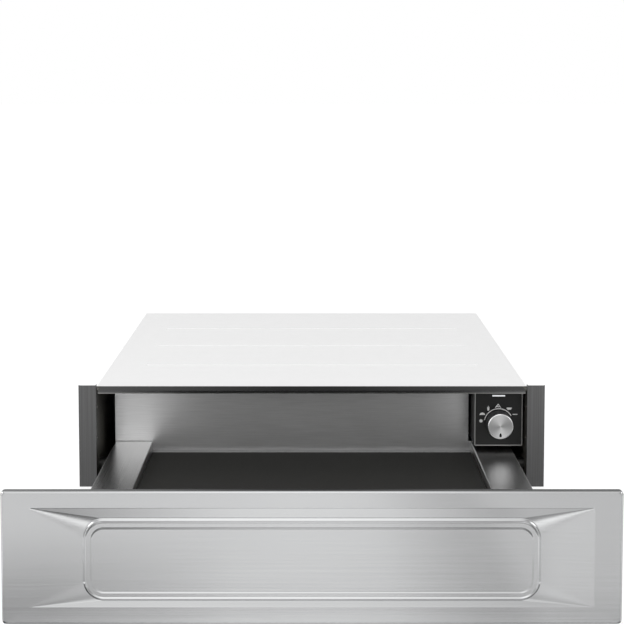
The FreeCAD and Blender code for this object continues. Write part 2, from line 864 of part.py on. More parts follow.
def runners():
    """Both runner sets, left and right."""
    for word, side in (("left", -1), ("right", 1)):
        runner_bracket(f"runner_bracket_{word}", side)
        runner_members(word, side)
        outer_row = MIDDLE_HALF + BALL_GAP / 2
        inner_row = INNER_HALF + BALL_GAP / 2
        ball_cage(f"outer_ball_cage_{word}", side, 0.25, OUTER_CAGE_BACK, outer_row)
        ball_cage(f"inner_ball_cage_{word}", side, 0.75, INNER_CAGE_BACK, inner_row)


# ---------------------------------------------------------------------------
# Controls
# ---------------------------------------------------------------------------


def control_box():
    """Folded sheet box behind the fascia, open at the front and rear, hung from the wall's top flange."""
    top = SHEET_TOP - S.housing_sheet
    back = FASCIA_BACK + S.control_depth
    outside = block("control_box_outside", (CONTROL_LEFT, CONTROL_RIGHT), (FASCIA_BACK, back),
                    (S.control_low, top))
    t = S.housing_sheet
    inside = block("control_box_inside", (CONTROL_LEFT + t, CONTROL_RIGHT - t), (FASCIA_BACK - t, back + t),
                   (S.control_low + t, top - t))
    keep("control_box", less("control_box", outside, inside))


def control_fascia():
    """Front plate of the controls with a raised rim, the spindle's hole and the lamp's slot."""
    body = new_body("control_fascia")
    plate = new_sketch(body, "XZ", S.control_setback)
    rounded(plate, (CONTROL_LEFT, CONTROL_RIGHT), (S.control_low, CONTROL_TOP), S.fascia_corner)
    pad(body, plate, S.fascia_thick)
    front = S.control_setback - S.fascia_rim_rise
    rim = new_sketch(body, "XZ", front)
    rounded(rim, (CONTROL_LEFT, CONTROL_RIGHT), (S.control_low, CONTROL_TOP), S.fascia_corner)
    inset = S.fascia_rim
    rounded(rim, (CONTROL_LEFT + inset, CONTROL_RIGHT - inset),
            (S.control_low + inset, CONTROL_TOP - inset), S.fascia_corner / 2)
    pad(body, rim, S.fascia_rim_rise)
    hole = new_sketch(body, "XZ", front)
    circles(hole, [(KNOB_ACROSS, S.knob_height)], S.bush_radius + S.screw_play)
    pocket(body, hole, S.fascia_thick + S.fascia_rim_rise)
    slot = new_sketch(body, "XZ", front)
    lens_left, lens_low = CONTROL_LEFT + S.lens_left_offset, S.lens_height_above_floor
    play = S.screw_play
    rectangle(slot, (lens_left - play, lens_left + S.lens_width + play),
              (lens_low - play, lens_low + S.lens_height + play))
    pocket(body, slot, S.fascia_thick + S.fascia_rim_rise)
    keep("control_fascia", body)


def pilot_light():
    """Clear bar in the fascia, and the lamp body behind it."""
    left, low = CONTROL_LEFT + S.lens_left_offset, S.lens_height_above_floor
    lens = new_body("pilot_lens")
    bar = new_sketch(lens, "XZ", S.control_setback - S.fascia_rim_rise / 2)
    rounded(bar, (left, left + S.lens_width), (low, low + S.lens_height), S.lens_height / 4)
    pad(lens, bar, S.fascia_thick + S.fascia_rim_rise / 2)
    keep("pilot_lens", lens)
    middle = left + S.lens_width / 2
    height = low + S.lens_height / 2
    half = S.lens_height / 2 + S.lamp_inset * 2
    holder_back = FASCIA_BACK + S.lamp_holder_depth
    holder = block("pilot_lamp_holder", (left + S.lamp_inset, left + S.lens_width - S.lamp_inset),
                   (FASCIA_BACK, holder_back), (height - half, height + half))
    bulb = rod("pilot_lamp_bulb", S.lamp_radius, (middle, holder_back, height), S.lamp_length, TO_BACK)
    keep("pilot_lamp", joined("pilot_lamp", [holder, bulb]))


def thermostat():
    """Control body behind the fascia, its bush through the plate and its spindle for the knob."""
    half = S.thermostat_half
    case = new_body("thermostat_case")
    front = new_sketch(case, "XZ", FASCIA_BACK)
    rounded(front, (KNOB_ACROSS - half, KNOB_ACROSS + half), (S.knob_height - half, S.knob_height + half),
            S.thermostat_corner)
    pad(case, front, S.thermostat_depth)
    bush = rod("thermostat_bush", S.bush_radius, (KNOB_ACROSS, FASCIA_BACK, S.knob_height),
               S.fascia_thick + S.knob_gap / 2, TO_FRONT)
    spindle = rod("thermostat_spindle", S.spindle_radius, (KNOB_ACROSS, FASCIA_BACK, S.knob_height),
                  S.fascia_thick + S.spindle_reach, TO_FRONT)
    keep("thermostat", joined("thermostat", [case, bush, spindle]))


def sensor():
    """Capillary from the thermostat to the bulb, which lies along the wall's top flange."""
    case_back = (FASCIA_BACK + S.thermostat_depth).value
    box_back = (FASCIA_BACK + S.control_depth).value
    across = (HALF_INSIDE - S.wall_flange / 2).value
    bulb_height = SHEET_TOP - S.housing_sheet - S.sensor_radius
    bulb_start = (FASCIA_BACK + S.control_depth + S.sensor_setback).value
    start = (KNOB_ACROSS.value, case_back, (S.knob_height + S.capillary_lift).value)
    route = [
        start,
        (start[0], box_back - S.capillary_drop.value, start[2]),
        (across, box_back + S.capillary_climb.value, bulb_height.value),
        (across, bulb_start + S.sensor_radius.value, bulb_height.value),
    ]
    capillary = bent_tube("capillary", route, S.capillary_bend.value, S.capillary_radius.value)
    bulb = rod("sensor_tube", S.sensor_radius, (across, bulb_start, bulb_height.value),
               S.sensor_length, TO_BACK)
    keep("sensor_bulb", joined("sensor_bulb", [capillary, bulb]))


def knob():
    """Black knob body with a bore for the spindle, and the spun metal cap on its face."""
    base = S.control_setback - S.knob_gap
    deep = S.knob_reach - S.knob_gap
    seat = deep - S.cap_thick
    body = new_body("knob_body")
    bore = S.spindle_radius + S.spindle_play
    bore_depth = S.spindle_reach + S.knob_gap / 2
    turned(body, [
        (bore, 0), (S.knob_radius, 0), (S.knob_radius, 2), (S.knob_face_radius + 0.4, seat - 1),
        (S.knob_face_radius - 0.4, seat), (0, seat), (0, bore_depth), (bore, bore_depth),
    ])
    place_body(body, KNOB_ACROSS, base, S.knob_height, TO_FRONT)
    keep("knob_body", body)
    cap = new_body("knob_cap")
    rim = S.knob_face_radius
    turned(cap, [(0, 0), (rim - 0.6, 0), (rim, 0.6), (rim, S.cap_thick - 0.5),
                 (rim - 0.7, S.cap_thick), (0, S.cap_thick)])
    place_body(cap, KNOB_ACROSS, base - seat, S.knob_height, TO_FRONT)
    keep("knob_cap", cap)


# ---------------------------------------------------------------------------
# Heating and air
# ---------------------------------------------------------------------------


def reflector_plate():
    """Bright sheet under the heater, on its own turned-down edges."""
    body = new_body("reflector_plate")
    front, rear = S.reflector_front, S.reflector_front + S.reflector_length
    t, low, high = S.reflector_sheet, S.housing_sheet, S.reflector_rise
    half = S.tube_pitch * (TUBE_RUNS - 1) / 2 + S.reflector_margin
    profile = new_sketch(body, "YZ", -half)
    polygon(profile, [
        (front, low), (front + t, low), (front + t, high - t), (rear - t, high - t),
        (rear - t, low), (rear, low), (rear, high), (front, high),
    ])
    pad(body, profile, half * 2)
    keep("reflector_plate", body)


def heater_support(node, along):
    """Ceramic comb across the reflector that carries every run of the element."""
    body = new_body(node)
    ends = S.tube_pitch * (TUBE_RUNS - 1) / 2
    bar = new_sketch(body, "XZ", along)
    reach = ends + S.tube_radius * 3
    rectangle(bar, (-reach, reach), (S.reflector_rise, S.tube_height))
    pad(body, bar, S.support_thick)
    notch = new_sketch(body, "XZ", along)
    circles(notch, [(-ends, S.tube_height)], S.tube_radius + S.screw_play)
    cut = pocket(body, notch, S.support_thick)
    row_of(body, cut, "X_Axis", S.tube_pitch * (TUBE_RUNS - 1), TUBE_RUNS)
    keep(node, body)


def heating_element():
    """Sheathed tube in long hairpins under the tray; both ends pass through the baffle."""
    ends = (S.tube_pitch * (TUBE_RUNS - 1) / 2).value
    pitch, height = S.tube_pitch.value, S.tube_height.value
    front, rear = S.tube_front.value, S.tube_rear.value
    terminal = BAFFLE.value + 12
    corners = [(-ends, terminal, height)]
    for run in range(TUBE_RUNS - 1):
        across = -ends + pitch * run
        turn = front if run % 2 == 0 else rear
        corners.append((across, turn, height))
        corners.append((across + pitch, turn, height))
    corners.append((ends, terminal, height))
    tube = bent_tube("heating_element", corners, S.tube_bend.value, S.tube_radius.value)
    keep("heating_element", tube)


def fan():
    """Motor on a strap behind the baffle, and the blower wheel on its shaft."""
    wheel_front = BAFFLE + S.housing_sheet + S.fan_gap
    strap_front = wheel_front + S.fan_depth + S.fan_plate
    strap_back = strap_front + S.strap_sheet
    low, high = S.fan_height - S.strap_width / 2, S.fan_height + S.strap_width / 2
    t, foot = S.strap_sheet, S.strap_width / 2
    strap = new_body("fan_bracket")
    plan = new_sketch(strap, "XY", low)
    half, face = S.strap_half, BAFFLE + S.housing_sheet
    polygon(plan, [
        (-half - foot, face), (-half, face), (-half, strap_front), (half, strap_front), (half, face),
        (half + foot, face), (half + foot, face + t), (half + t, face + t), (half + t, strap_back),
        (-half - t, strap_back), (-half - t, face + t), (-half - foot, face + t),
    ])
    pad(strap, plan, high - low)
    hole = new_sketch(strap, "XZ", strap_front)
    circles(hole, [(0, S.fan_height)], S.shaft_radius * 2)
    pocket(strap, hole, S.strap_sheet)
    keep("fan_bracket", strap)
    can = rod("fan_motor_can", S.motor_radius, (0, strap_back, S.fan_height), S.motor_length, TO_BACK)
    shaft_reach = strap_back - wheel_front
    shaft = rod("fan_motor_shaft", S.shaft_radius, (0, strap_back + 1, S.fan_height),
                shaft_reach + 1, TO_FRONT)
    keep("fan_motor", joined("fan_motor", [can, shaft]))
    blower_wheel(wheel_front)


def blower_wheel(front):
    """Back plate, hub on the motor shaft and a ring of straight blades set back from the tip."""
    body = new_body("fan_wheel")
    bore = S.shaft_radius + S.shaft_play
    turned(body, [
        (bore, 0), (S.fan_radius, 0), (S.fan_radius, S.fan_plate), (S.fan_hub, S.fan_plate),
        (S.fan_hub - 1, S.fan_depth), (bore, S.fan_depth),
    ])
    blade = new_sketch(body, "XY", S.fan_plate)
    root, tip = S.fan_radius * 0.62, S.fan_radius * 0.98
    lean = S.fan_radius * 0.14
    polygon(blade, [(root, 0), (tip, lean), (tip, lean + S.fan_plate), (root, S.fan_plate)])
    first = pad(body, blade, S.fan_depth - S.fan_plate)
    ring_of(body, first, blade, FAN_BLADES)
    place_body(body, 0, front + S.fan_depth, S.fan_height, TO_FRONT)
    keep("fan_wheel", body)


def electrical_pieces():
    """Thermal cut-out and terminal block on the baffle's rear face, and the gland for the mains lead."""
    face = BAFFLE + S.housing_sheet
    across = -S.strap_half - S.strap_width * 2
    place = (across, face, S.fan_height)
    disc = rod("thermal_cutout_disc", S.cutout_radius, place, S.cutout_depth, TO_BACK)
    tab = S.cutout_radius - S.housing_sheet
    low, high = S.fan_height - tab / 2, S.fan_height + tab / 2
    tabs_start = face + S.cutout_depth - S.housing_sheet
    tabs = block("thermal_cutout_tabs", (across - tab, across + tab),
                 (tabs_start, tabs_start + S.cutout_tab_depth), (low, high))
    keep("thermal_cutout", joined("thermal_cutout", [disc, tabs]))
    left = S.strap_half + S.strap_width
    low = S.fan_height + S.terminal_lift
    terminals = new_body("terminal_block")
    base = new_sketch(terminals, "XZ", face)
    rounded(base, (left, left + S.terminal_width), (low, low + S.terminal_tall), S.terminal_way_radius / 2)
    pad(terminals, base, S.terminal_depth)
    ways = new_sketch(terminals, "XZ", face)
    circles(ways, [(left + S.terminal_way_inset, low + S.terminal_tall / 2)], S.terminal_way_radius)
    way = pocket(terminals, ways, S.terminal_depth)
    row_of(terminals, way, "X_Axis", S.terminal_width - S.terminal_way_inset * 2, 3)
    keep("terminal_block", terminals)
    gland = new_body("cable_gland")
    radius, bore, inside, sheet = S.gland_radius, S.cord_radius, S.gland_inside, S.housing_sheet
    flange = radius + S.gland_flange
    seat, back = inside - S.gland_play, inside + sheet + S.gland_play
    tip, half = inside + sheet + S.gland_outside, S.gland_flange / 2
    turned(gland, [
        (bore, 0), (flange, 0), (flange, seat), (radius, seat), (radius, back), (flange, back),
        (radius + half, back + S.gland_flange), (radius - half, tip), (bore, tip),
    ])
    place_body(gland, S.gland_across, S.housing_depth - sheet - inside, S.gland_height, TO_BACK)
    keep("cable_gland", gland)


# ---------------------------------------------------------------------------
# Push-to-open latch and stops
# ---------------------------------------------------------------------------

LATCH_FRONT = S.latch_setback
PLUNGER_TIP = LATCH_FRONT - S.plunger_reach
LATCH_HEIGHT = S.housing_sheet + S.latch_tall / 2


def latch():
    """Latch case on the base pan with a round bore, and the sprung plunger that pushes the drawer out."""
    case = new_body("latch_case")
    front = new_sketch(case, "XZ", LATCH_FRONT)
    rounded(front, (-S.latch_half, S.latch_half), (S.housing_sheet, S.housing_sheet + S.latch_tall), 2)
    pad(case, front, S.latch_length)
    bore = new_sketch(case, "XZ", LATCH_FRONT)
    circles(bore, [(0, LATCH_HEIGHT)], S.plunger_radius + S.plunger_play)
    pocket(case, bore, S.latch_length * 0.8)
    keep("latch_case", case)
    plunger = new_body("latch_plunger")
    length = S.plunger_reach + S.latch_length * 0.6
    turned(plunger, [(0, 0), (S.plunger_radius - 1, 0), (S.plunger_radius, 1),
                     (S.plunger_radius, length), (0, length)])
    place_body(plunger, 0, PLUNGER_TIP, LATCH_HEIGHT, TO_BACK)
    keep("latch_plunger", plunger)


def latch_striker():
    """Angle under the tray that meets the plunger when the drawer is shut."""
    body = new_body("latch_striker")
    t = S.striker_sheet
    face = opened(PLUNGER_TIP - S.striker_gap)
    under = S.tray_floor - S.tray_sheet
    profile = new_sketch(body, "YZ", -S.latch_half)
    low = S.skirt_low
    polygon(profile, [
        (face - t, low), (face, low), (face, under - t), (face + S.latch_tall, under - t),
        (face + S.latch_tall, under), (face - t, under),
    ])
    pad(body, profile, S.latch_half * 2)
    keep("latch_striker", body)


def panel_bumpers():
    """Four soft stops on the panel's back that meet the frame when the drawer is shut."""
    tall = S.closed_gap - S.bumper_play
    pieces = []
    across = HALF_FRONT - S.bumper_inset
    for up in (S.front_lift + S.bumper_inset, S.front_lift + S.front_height - S.bumper_inset):
        for side in (-1, 1):
            name = f"bumper_{len(pieces) + 1}"
            start = (side_place(side, across), opened(PANEL_BACK), up)
            pieces.append(rod(name, S.bumper_radius, start, tall, TO_BACK))
    keep("panel_bumpers", group_of("panel_bumpers", pieces))


# ---------------------------------------------------------------------------
# Drawer
# ---------------------------------------------------------------------------


def pressed_form(name, skin):
    """The panel's form, a recess round a beaded field, set back and in by the skin for the rear surface."""
    body = new_body(name)
    face = opened(PANEL_FACE) + skin
    low, high = S.front_lift, S.front_lift + S.front_height
    half = HALF_FRONT - skin
    plate = new_sketch(body, "XZ", face)
    rounded(plate, (-half, half), (low + skin, high - skin), S.front_corner - skin)
    through = S.front_skin if skin.value else 0
    pad(body, plate, S.front_edge - skin + through)
    soften(body, lambda middle, direction: abs(middle.y - face.value) < 0.01, S.front_rounding - skin)
    side, end = S.recess_side_margin, S.recess_end_margin
    mouth = new_sketch(body, "XZ", face)
    rounded(mouth, (-HALF_FRONT + side, HALF_FRONT - side), (low + end, high - end), S.recess_corner)

    def oval(inset, depth):
        """The island's outline, set in by a width and back by a depth."""
        sketch = new_sketch(body, "XZ", face + depth)
        across = HALF_FRONT - S.island_side_margin - inset
        rounded(sketch, (-across, across),
                (low + S.island_low_margin + inset, high - S.island_high_margin - inset),
                S.island_corner - inset)
        return sketch

    def slope(kind, near, far):
        """Adds or cuts the straight-sided form between two outlines."""
        feature = body.newObject(f"PartDesign::{kind}Loft", f"{name}_slope")
        feature.Profile = near
        feature.Sections = [far]
        feature.Ruled = True

    crest = S.bead_rise_width
    fall = crest + S.bead_crest_width
    ledge = fall + S.bead_fall_width
    drop = ledge + S.ledge_width
    field = drop + S.field_fall_width
    slope("Subtractive", mouth, oval(0, S.recess_depth))
    slope("Additive", oval(crest, S.bead_depth), oval(0, S.recess_depth))
    slope("Subtractive", oval(fall, S.bead_depth), oval(ledge, S.ledge_depth))
    slope("Subtractive", oval(drop, S.ledge_depth), oval(field, S.recess_depth))
    return body


def front_panel():
    """Pressed stainless skin of even thickness: the outer form less the same form set back by the skin."""
    outer = pressed_form("front_panel_outer", as_size(0))
    inner = pressed_form("front_panel_inner", S.front_skin)
    keep("front_panel", less("front_panel", outer, inner))


def panel_screw_spots():
    """Places, as X and Z, of the screws that pull the panel's backing onto the drawer."""
    low = S.skirt_low * 2
    high = S.wall_top - S.skirt_low
    across = WELL_HALF / 2
    return [(-across, low), (across, low), (-across, high), (across, high)]


def panel_backing():
    """Flat sheet inside the folded edge of the skin, which stiffens it."""
    body = new_body("panel_backing")
    inset = S.front_skin + S.screw_play
    sheet = new_sketch(body, "XZ", opened(PANEL_BACK - S.backing_sheet))
    rounded(sheet, (-HALF_FRONT + inset, HALF_FRONT - inset),
            (S.front_lift + inset, S.front_lift + S.front_height - inset), S.front_corner - inset)
    pad(body, sheet, S.backing_sheet)
    screws = new_sketch(body, "XZ", opened(PANEL_BACK - S.backing_sheet))
    circles(screws, panel_screw_spots(), S.screw_radius + S.screw_play)
    pocket(body, screws, S.backing_sheet)
    keep("panel_backing", body)


def inner_front():
    """Front wall of the drawer, behind the panel."""
    body = new_body("inner_front")
    sheet = new_sketch(body, "XZ", opened(PANEL_BACK))
    rectangle(sheet, (-RIM_HALF, RIM_HALF), (S.skirt_low, S.wall_top))
    pad(body, sheet, S.tray_sheet)
    hem = new_sketch(body, "XZ", opened(PANEL_BACK))
    rectangle(hem, (-RIM_HALF, RIM_HALF), (S.wall_top - S.tray_sheet, S.wall_top))
    pad(body, hem, S.wall_hem)
    screws = new_sketch(body, "XZ", opened(PANEL_BACK))
    circles(screws, panel_screw_spots(), S.screw_radius + S.screw_play)
    pocket(body, screws, S.tray_sheet)
    keep("inner_front", body)


def panel_screws():
    """Four screws from inside the drawer into the backing."""
    spots = []
    head = opened(TRAY_FRONT)
    for across, up in panel_screw_spots():
        spots.append(((across, head, up), (across, head - S.tray_sheet - S.backing_sheet, up)))
    fasteners("panel_screws", spots, TO_BACK, S.tray_sheet + S.backing_sheet + S.screw_head_tall)


def tray():
    """Folded drawer tray: a sunk floor between wide rims, hemmed back to skirts that carry the runners."""
    body = new_body("tray")
    profile = new_sketch(body, "XZ", opened(TRAY_FRONT))
    t, rim, skirt, well = S.tray_sheet, RIM_HALF, SKIRT_HALF, WELL_HALF
    top, floor, low = S.rim_top, S.tray_floor, S.skirt_low
    right = [
        (skirt, low), (skirt, RIM_UNDER), (rim, RIM_UNDER), (rim, top), (well, top), (well, floor),
    ]
    left = [(-across, up) for across, up in reversed(right)]
    left_under = [
        (-skirt + t, low), (-skirt + t, top - t), (-well - t, top - t), (-well - t, floor - t),
    ]
    right_under = [(-across, up) for across, up in reversed(left_under)]
    polygon(profile, right + left + left_under + right_under)
    pad(body, profile, S.tray_length)
    corners = (rim.value, well.value)

    def on_rim(middle, direction):
        beside = min(abs(abs(middle.x) - corner) for corner in corners)
        return abs(direction.y) > 0.99 and beside < 0.01 and abs(middle.z - top.value) < 0.01

    soften(body, on_rim, S.bend_radius)
    relief = new_sketch(body, "XY", RIM_UNDER)
    rear = opened(TRAY_REAR)
    for across in ((-rim, -well - t), (well + t, rim)):
        rectangle(relief, across, (rear - S.rim_rear_relief, rear))
    pocket(body, relief, top - RIM_UNDER)
    keep("tray", body)


def drawer_rear_wall():
    """Rear wall of the drawer, cut down on the right so that it passes under the control box."""
    body = new_body("drawer_rear_wall")
    low = S.tray_floor - S.tray_sheet
    cut_back = CONTROL_LEFT - S.tray_sheet * 3
    sheet = new_sketch(body, "XZ", opened(TRAY_REAR))
    polygon(sheet, [
        (-RIM_HALF, RIM_UNDER), (-SKIRT_HALF, RIM_UNDER), (-SKIRT_HALF, low), (SKIRT_HALF, low),
        (SKIRT_HALF, RIM_UNDER), (RIM_HALF, RIM_UNDER), (RIM_HALF, S.rim_top), (cut_back, S.rim_top),
        (cut_back, S.wall_top), (-RIM_HALF, S.wall_top),
    ])
    pad(body, sheet, S.tray_sheet)
    hem = new_sketch(body, "XZ", opened(TRAY_REAR))
    rectangle(hem, (-RIM_HALF, cut_back), (S.wall_top - S.tray_sheet, S.wall_top))
    pad(body, hem, S.wall_hem)
    keep("drawer_rear_wall", body)


def anti_slip_mat():
    """Rubber mat on the tray floor, a little short of the rear wall."""
    body = new_body("anti_slip_mat")
    half = WELL_HALF - S.mat_margin
    front = opened(TRAY_FRONT) + S.mat_margin + S.screw_head_tall
    rear = opened(TRAY_REAR) - S.mat_rear_gap
    sheet = new_sketch(body, "XY", S.tray_floor)
    rounded(sheet, (-half, half), (front, rear), S.mat_corner)
    pad(body, sheet, S.mat_thick)
    keep("anti_slip_mat", body)


# ---------------------------------------------------------------------------
# Build, check and write
# ---------------------------------------------------------------------------


def check_document():
    """Stops if any object failed, any cut removed nothing or any node isn't a valid solid."""
    for thing in DOC.Objects:
        if "Invalid" in thing.State or "Error" in thing.State:
            raise RuntimeError(f"{thing.Name} failed: {thing.State}")
        if thing.TypeId == "PartDesign::Pocket":
            if thing.Shape.Volume >= thing.BaseFeature.Shape.Volume - 0.01:
                raise RuntimeError(f"{thing.Name} cuts nothing")
    for node, thing in NODES.items():
        shape = thing.Shape
        if shape.isNull() or not shape.isValid() or not shape.Solids:
            raise RuntimeError(f"{node} isn't a valid solid")


def write_nodes():
    """Writes one STEP file for each node."""
    os.makedirs("parts", exist_ok=True)
    for node, thing in NODES.items():
        thing.Shape.exportStep(f"parts/{node}.step")


base_pan()
side_wall("side_wall_left", -1)
side_wall("side_wall_right", 1)
top_cover()
rear_panel()
rear_baffle()
trim("trim_left", -1)
trim("trim_right", 1)
top_rail()
cover_screws()
rear_screws()
runners()
control_box()
control_fascia()
pilot_light()
thermostat()
sensor()
knob()
reflector_plate()
heater_support("heater_support_front", S.tube_front + S.support_margin)
heater_support("heater_support_rear", S.tube_rear - S.support_margin - S.support_thick)
heating_element()
fan()
electrical_pieces()
latch()
latch_striker()
panel_bumpers()
front_panel()
panel_backing()
inner_front()
panel_screws()
tray()
drawer_rear_wall()
anti_slip_mat()
DOC.recompute()
check_document()
write_nodes()
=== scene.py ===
import math

import bmesh
import bpy
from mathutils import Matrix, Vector


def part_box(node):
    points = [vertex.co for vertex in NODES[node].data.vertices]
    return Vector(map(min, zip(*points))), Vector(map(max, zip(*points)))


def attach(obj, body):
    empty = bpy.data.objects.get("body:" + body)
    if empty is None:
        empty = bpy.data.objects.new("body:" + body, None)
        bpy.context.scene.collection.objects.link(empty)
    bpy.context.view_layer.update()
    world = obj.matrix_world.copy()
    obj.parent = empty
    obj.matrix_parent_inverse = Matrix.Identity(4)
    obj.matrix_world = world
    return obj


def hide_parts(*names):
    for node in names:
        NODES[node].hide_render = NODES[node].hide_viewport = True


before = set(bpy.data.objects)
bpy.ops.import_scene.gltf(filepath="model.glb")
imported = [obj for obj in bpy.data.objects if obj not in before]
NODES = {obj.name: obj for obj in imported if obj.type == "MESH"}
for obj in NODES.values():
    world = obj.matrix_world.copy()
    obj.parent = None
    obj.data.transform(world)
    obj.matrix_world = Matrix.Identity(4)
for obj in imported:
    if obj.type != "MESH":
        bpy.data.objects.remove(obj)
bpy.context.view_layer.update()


# ---------------------------------------------------------------------------
# Studio. The drawer stands on a pale floor in a white room. One large soft lamp
# hangs high on the left, weaker ones fill in from the right and from above, and
# the camera looks down at the open drawer from straight in front.
# ---------------------------------------------------------------------------

CAMERA_PLACE = (-0.0011, -1.6302, 0.5315)
CAMERA_PITCH = math.radians(3.936)
CAMERA_LENS = 74.57
CAMERA_SHIFT = (0.00195, -0.24)
CAMERA_NEAR = 0.05

# Each lamp's place, the point that it looks at, its width and height in metres, and its watts.
LAMPS = {
    "key": ((-1.5, -1.2, 1.9), (0, -0.2, 0.05), 2.2, 1.6, 9),
    "fill": ((1.7, -1.3, 1.3), (0, -0.2, 0.05), 1.8, 1.4, 2),
    "overhead": ((-0.2, -1.1, 2.2), (0, -0.3, 0.05), 2.4, 1.4, 4),
}

ROOM_LIGHT = 0.82

# What metal mirrors of the room before the drawer, by direction. The levels go by the sine of the
# height above the horizon, and the sides are shares of them by the sideways part of the direction.
ROOM_LEVELS = [
    (-1.0, 0.0), (-0.97, 0.05), (-0.94, 0.66), (-0.885, 0.70), (-0.86, 0.08), (-0.80, 0.0),
    (-0.50, 0.0), (-0.468, 1.4), (-0.435, 1.4), (-0.412, 0.13), (-0.385, 0.22), (-0.352, 0.48),
    (-0.28, 0.51), (-0.22, 0.24), (-0.08, 0.24), (0.0, 0.92), (0.30, 0.90), (0.46, 1.5),
    (0.80, 1.7), (0.89, 1.7), (0.935, 0.76), (0.96, 0.78), (1.0, 1.0),
]
ROOM_SIDES = [
    (0.0, 1.0), (0.30, 1.0), (0.50, 0.55), (0.70, 0.55), (0.75, 1.8), (0.92, 1.8), (0.96, 0.3),
    (1.0, 0.3),
]

# Each pair is the stretch of directions over which the share after it comes in.
ROOM_ENDS_ACROSS = (0.09, 0.18)
ROOM_ENDS_UPRIGHT = (0.60, 0.72)
ROOM_ENDS_SHARE = 0.72
ROOM_RIGHT = (0.03, 0.14)
ROOM_RIGHT_SHARE = 0.76

# The room behind the drawer is dark, less so at its sides.
ROOM_TURN = (0.40, 0.70)
ROOM_BEHIND_ACROSS = (0.03, 0.20)
ROOM_BEHIND = (0.06, 0.28)

FLOOR_DROP = 0.0004
FLOOR_SIZE = 40
FLOOR_COLOUR = (0.80, 0.80, 0.80)
FLOOR_SEEN = (0.34, 0.34, 0.34)
FLOOR_GLOW = 0.80

# What metal mirrors of the floor: a glow with a pool of light in the middle, two patches of shade
# that reach further out on the left, and a dip on the right. Pairs are stretches in metres.
MIRRORED_COLOUR = (0.08, 0.08, 0.08)
MIRRORED_GLOW = 0.38
FRONT_EDGE = -0.40
NEAR_AHEAD = (0.0, 0.12)
NEAR_SHARE = 0.55
POOL_ACROSS = (0.26, 0.026)
POOL_GLOW = 0.12
SHADE_INNER = (0.08, 0.26)
SHADE_OUTER = (0.42, 0.34)
SHADE_TURN = (-0.10, 0.10)
SHADE_REACH = (0.30, 0.05)
SHADE_FADE = 0.28
DIP_INNER = (0.08, 0.17)
DIP_OUTER = (0.235, 0.20)
DIP_SHARE = 0.60


class Signal:
    """One output of a material's nodes. Arithmetic on signals adds Math nodes."""

    def __init__(self, tree, output):
        self.tree = tree
        self.output = output

    def node(self, kind, settings=(), inputs=(), result=0):
        """Adds a node: its settings first, then the values or signals of its sockets."""
        made = self.tree.nodes.new(f"ShaderNode{kind}")
        for name, value in dict(settings).items():
            if name == "stops":
                set_stops(made.color_ramp, value)
            else:
                setattr(made, name, value)
        for socket, value in dict(inputs).items():
            if isinstance(value, Signal):
                self.tree.links.new(value.output, made.inputs[socket])
            else:
                made.inputs[socket].default_value = value
        return Signal(self.tree, made.outputs[result] if made.outputs else None)

    def maths(self, operation, *terms):
        return self.node("Math", {"operation": operation}, dict(enumerate(terms)))

    def axis(self, number):
        """One coordinate of a place or a direction."""
        return self.node("SeparateXYZ", inputs={0: self}, result=number)

    def below(self, limit):
        """1 where this signal is less than the limit, 0 elsewhere."""
        return self.maths("LESS_THAN", self, limit)

    def above(self, limit):
        """1 where this signal is more than the limit, 0 elsewhere."""
        return self.maths("GREATER_THAN", self, limit)

    def least(self, other):
        return self.maths("MINIMUM", self, other)

    def most(self, other):
        return self.maths("MAXIMUM", self, other)

    def blend(self, first, second):
        """The first colour where this signal is 0, the second where it is 1."""
        return self.node("Mix", {"data_type": "RGBA"},
                         {0: self, 6: opaque(first), 7: opaque(second)}, result=2)

    def mixed(self, first, second):
        """The first number where this signal is 0, the second where it is 1."""
        return (1 - self) * first + self * second

    def span(self, low, high):
        """This signal's range from low to high, spread over 0 to 1 and cut off there."""
        return self.node("MapRange", inputs={0: self, 1: low, 2: high})

    def ramp(self, stops):
        """The level that the stops give for this signal's value, from -1 to 1."""
        spread = self * 0.5 + 0.5
        return spread.node("ValToRGB", {"stops": stops}, {0: spread})

    def __add__(self, other):
        return self.maths("ADD", self, other)

    def __sub__(self, other):
        return self.maths("SUBTRACT", self, other)

    def __rsub__(self, other):
        return self.maths("SUBTRACT", other, self)

    def __mul__(self, other):
        return self.maths("MULTIPLY", self, other)

    def __pow__(self, other):
        return self.maths("POWER", self, other)

    def __abs__(self):
        return self.maths("ABSOLUTE", self)

    __radd__ = __add__
    __rmul__ = __mul__


def opaque(colour):
    """A colour with its alpha, or a signal as it is."""
    return colour if isinstance(colour, Signal) else (*colour, 1)


def set_stops(ramp, stops):
    """Gives a ramp over the values from -1 to 1 its stops, as pairs of a value and a level."""
    ramp.elements.remove(ramp.elements[1])
    for number, (value, level) in enumerate(stops):
        stop = ramp.elements.new((value + 1) / 2) if number else ramp.elements[0]
        stop.position = (value + 1) / 2
        stop.color = (level, level, level, 1)


def coordinates(tree, kind):
    """The place on a piece as Object, or the direction into the room as Generated."""
    return Signal(tree, tree.nodes.new("ShaderNodeTexCoord").outputs[kind])


def seen_by(tree, *kinds):
    """1 for rays of the given kinds, 0 for all others."""
    path = tree.nodes.new("ShaderNodeLightPath")
    seen, *others = [Signal(tree, path.outputs[f"Is {kind} Ray"]) for kind in kinds]
    for other in others:
        seen = seen.most(other)
    return seen


camera_data = bpy.data.cameras.new("camera")
camera_data.lens = CAMERA_LENS
camera_data.shift_x, camera_data.shift_y = CAMERA_SHIFT
camera_data.clip_start = CAMERA_NEAR
camera = bpy.data.objects.new("camera", camera_data)
camera.location = CAMERA_PLACE
camera.rotation_euler = (math.radians(90) - CAMERA_PITCH, 0, 0)
bpy.context.scene.collection.objects.link(camera)
bpy.context.scene.camera = camera
bpy.context.scene.view_settings.view_transform = "Standard"

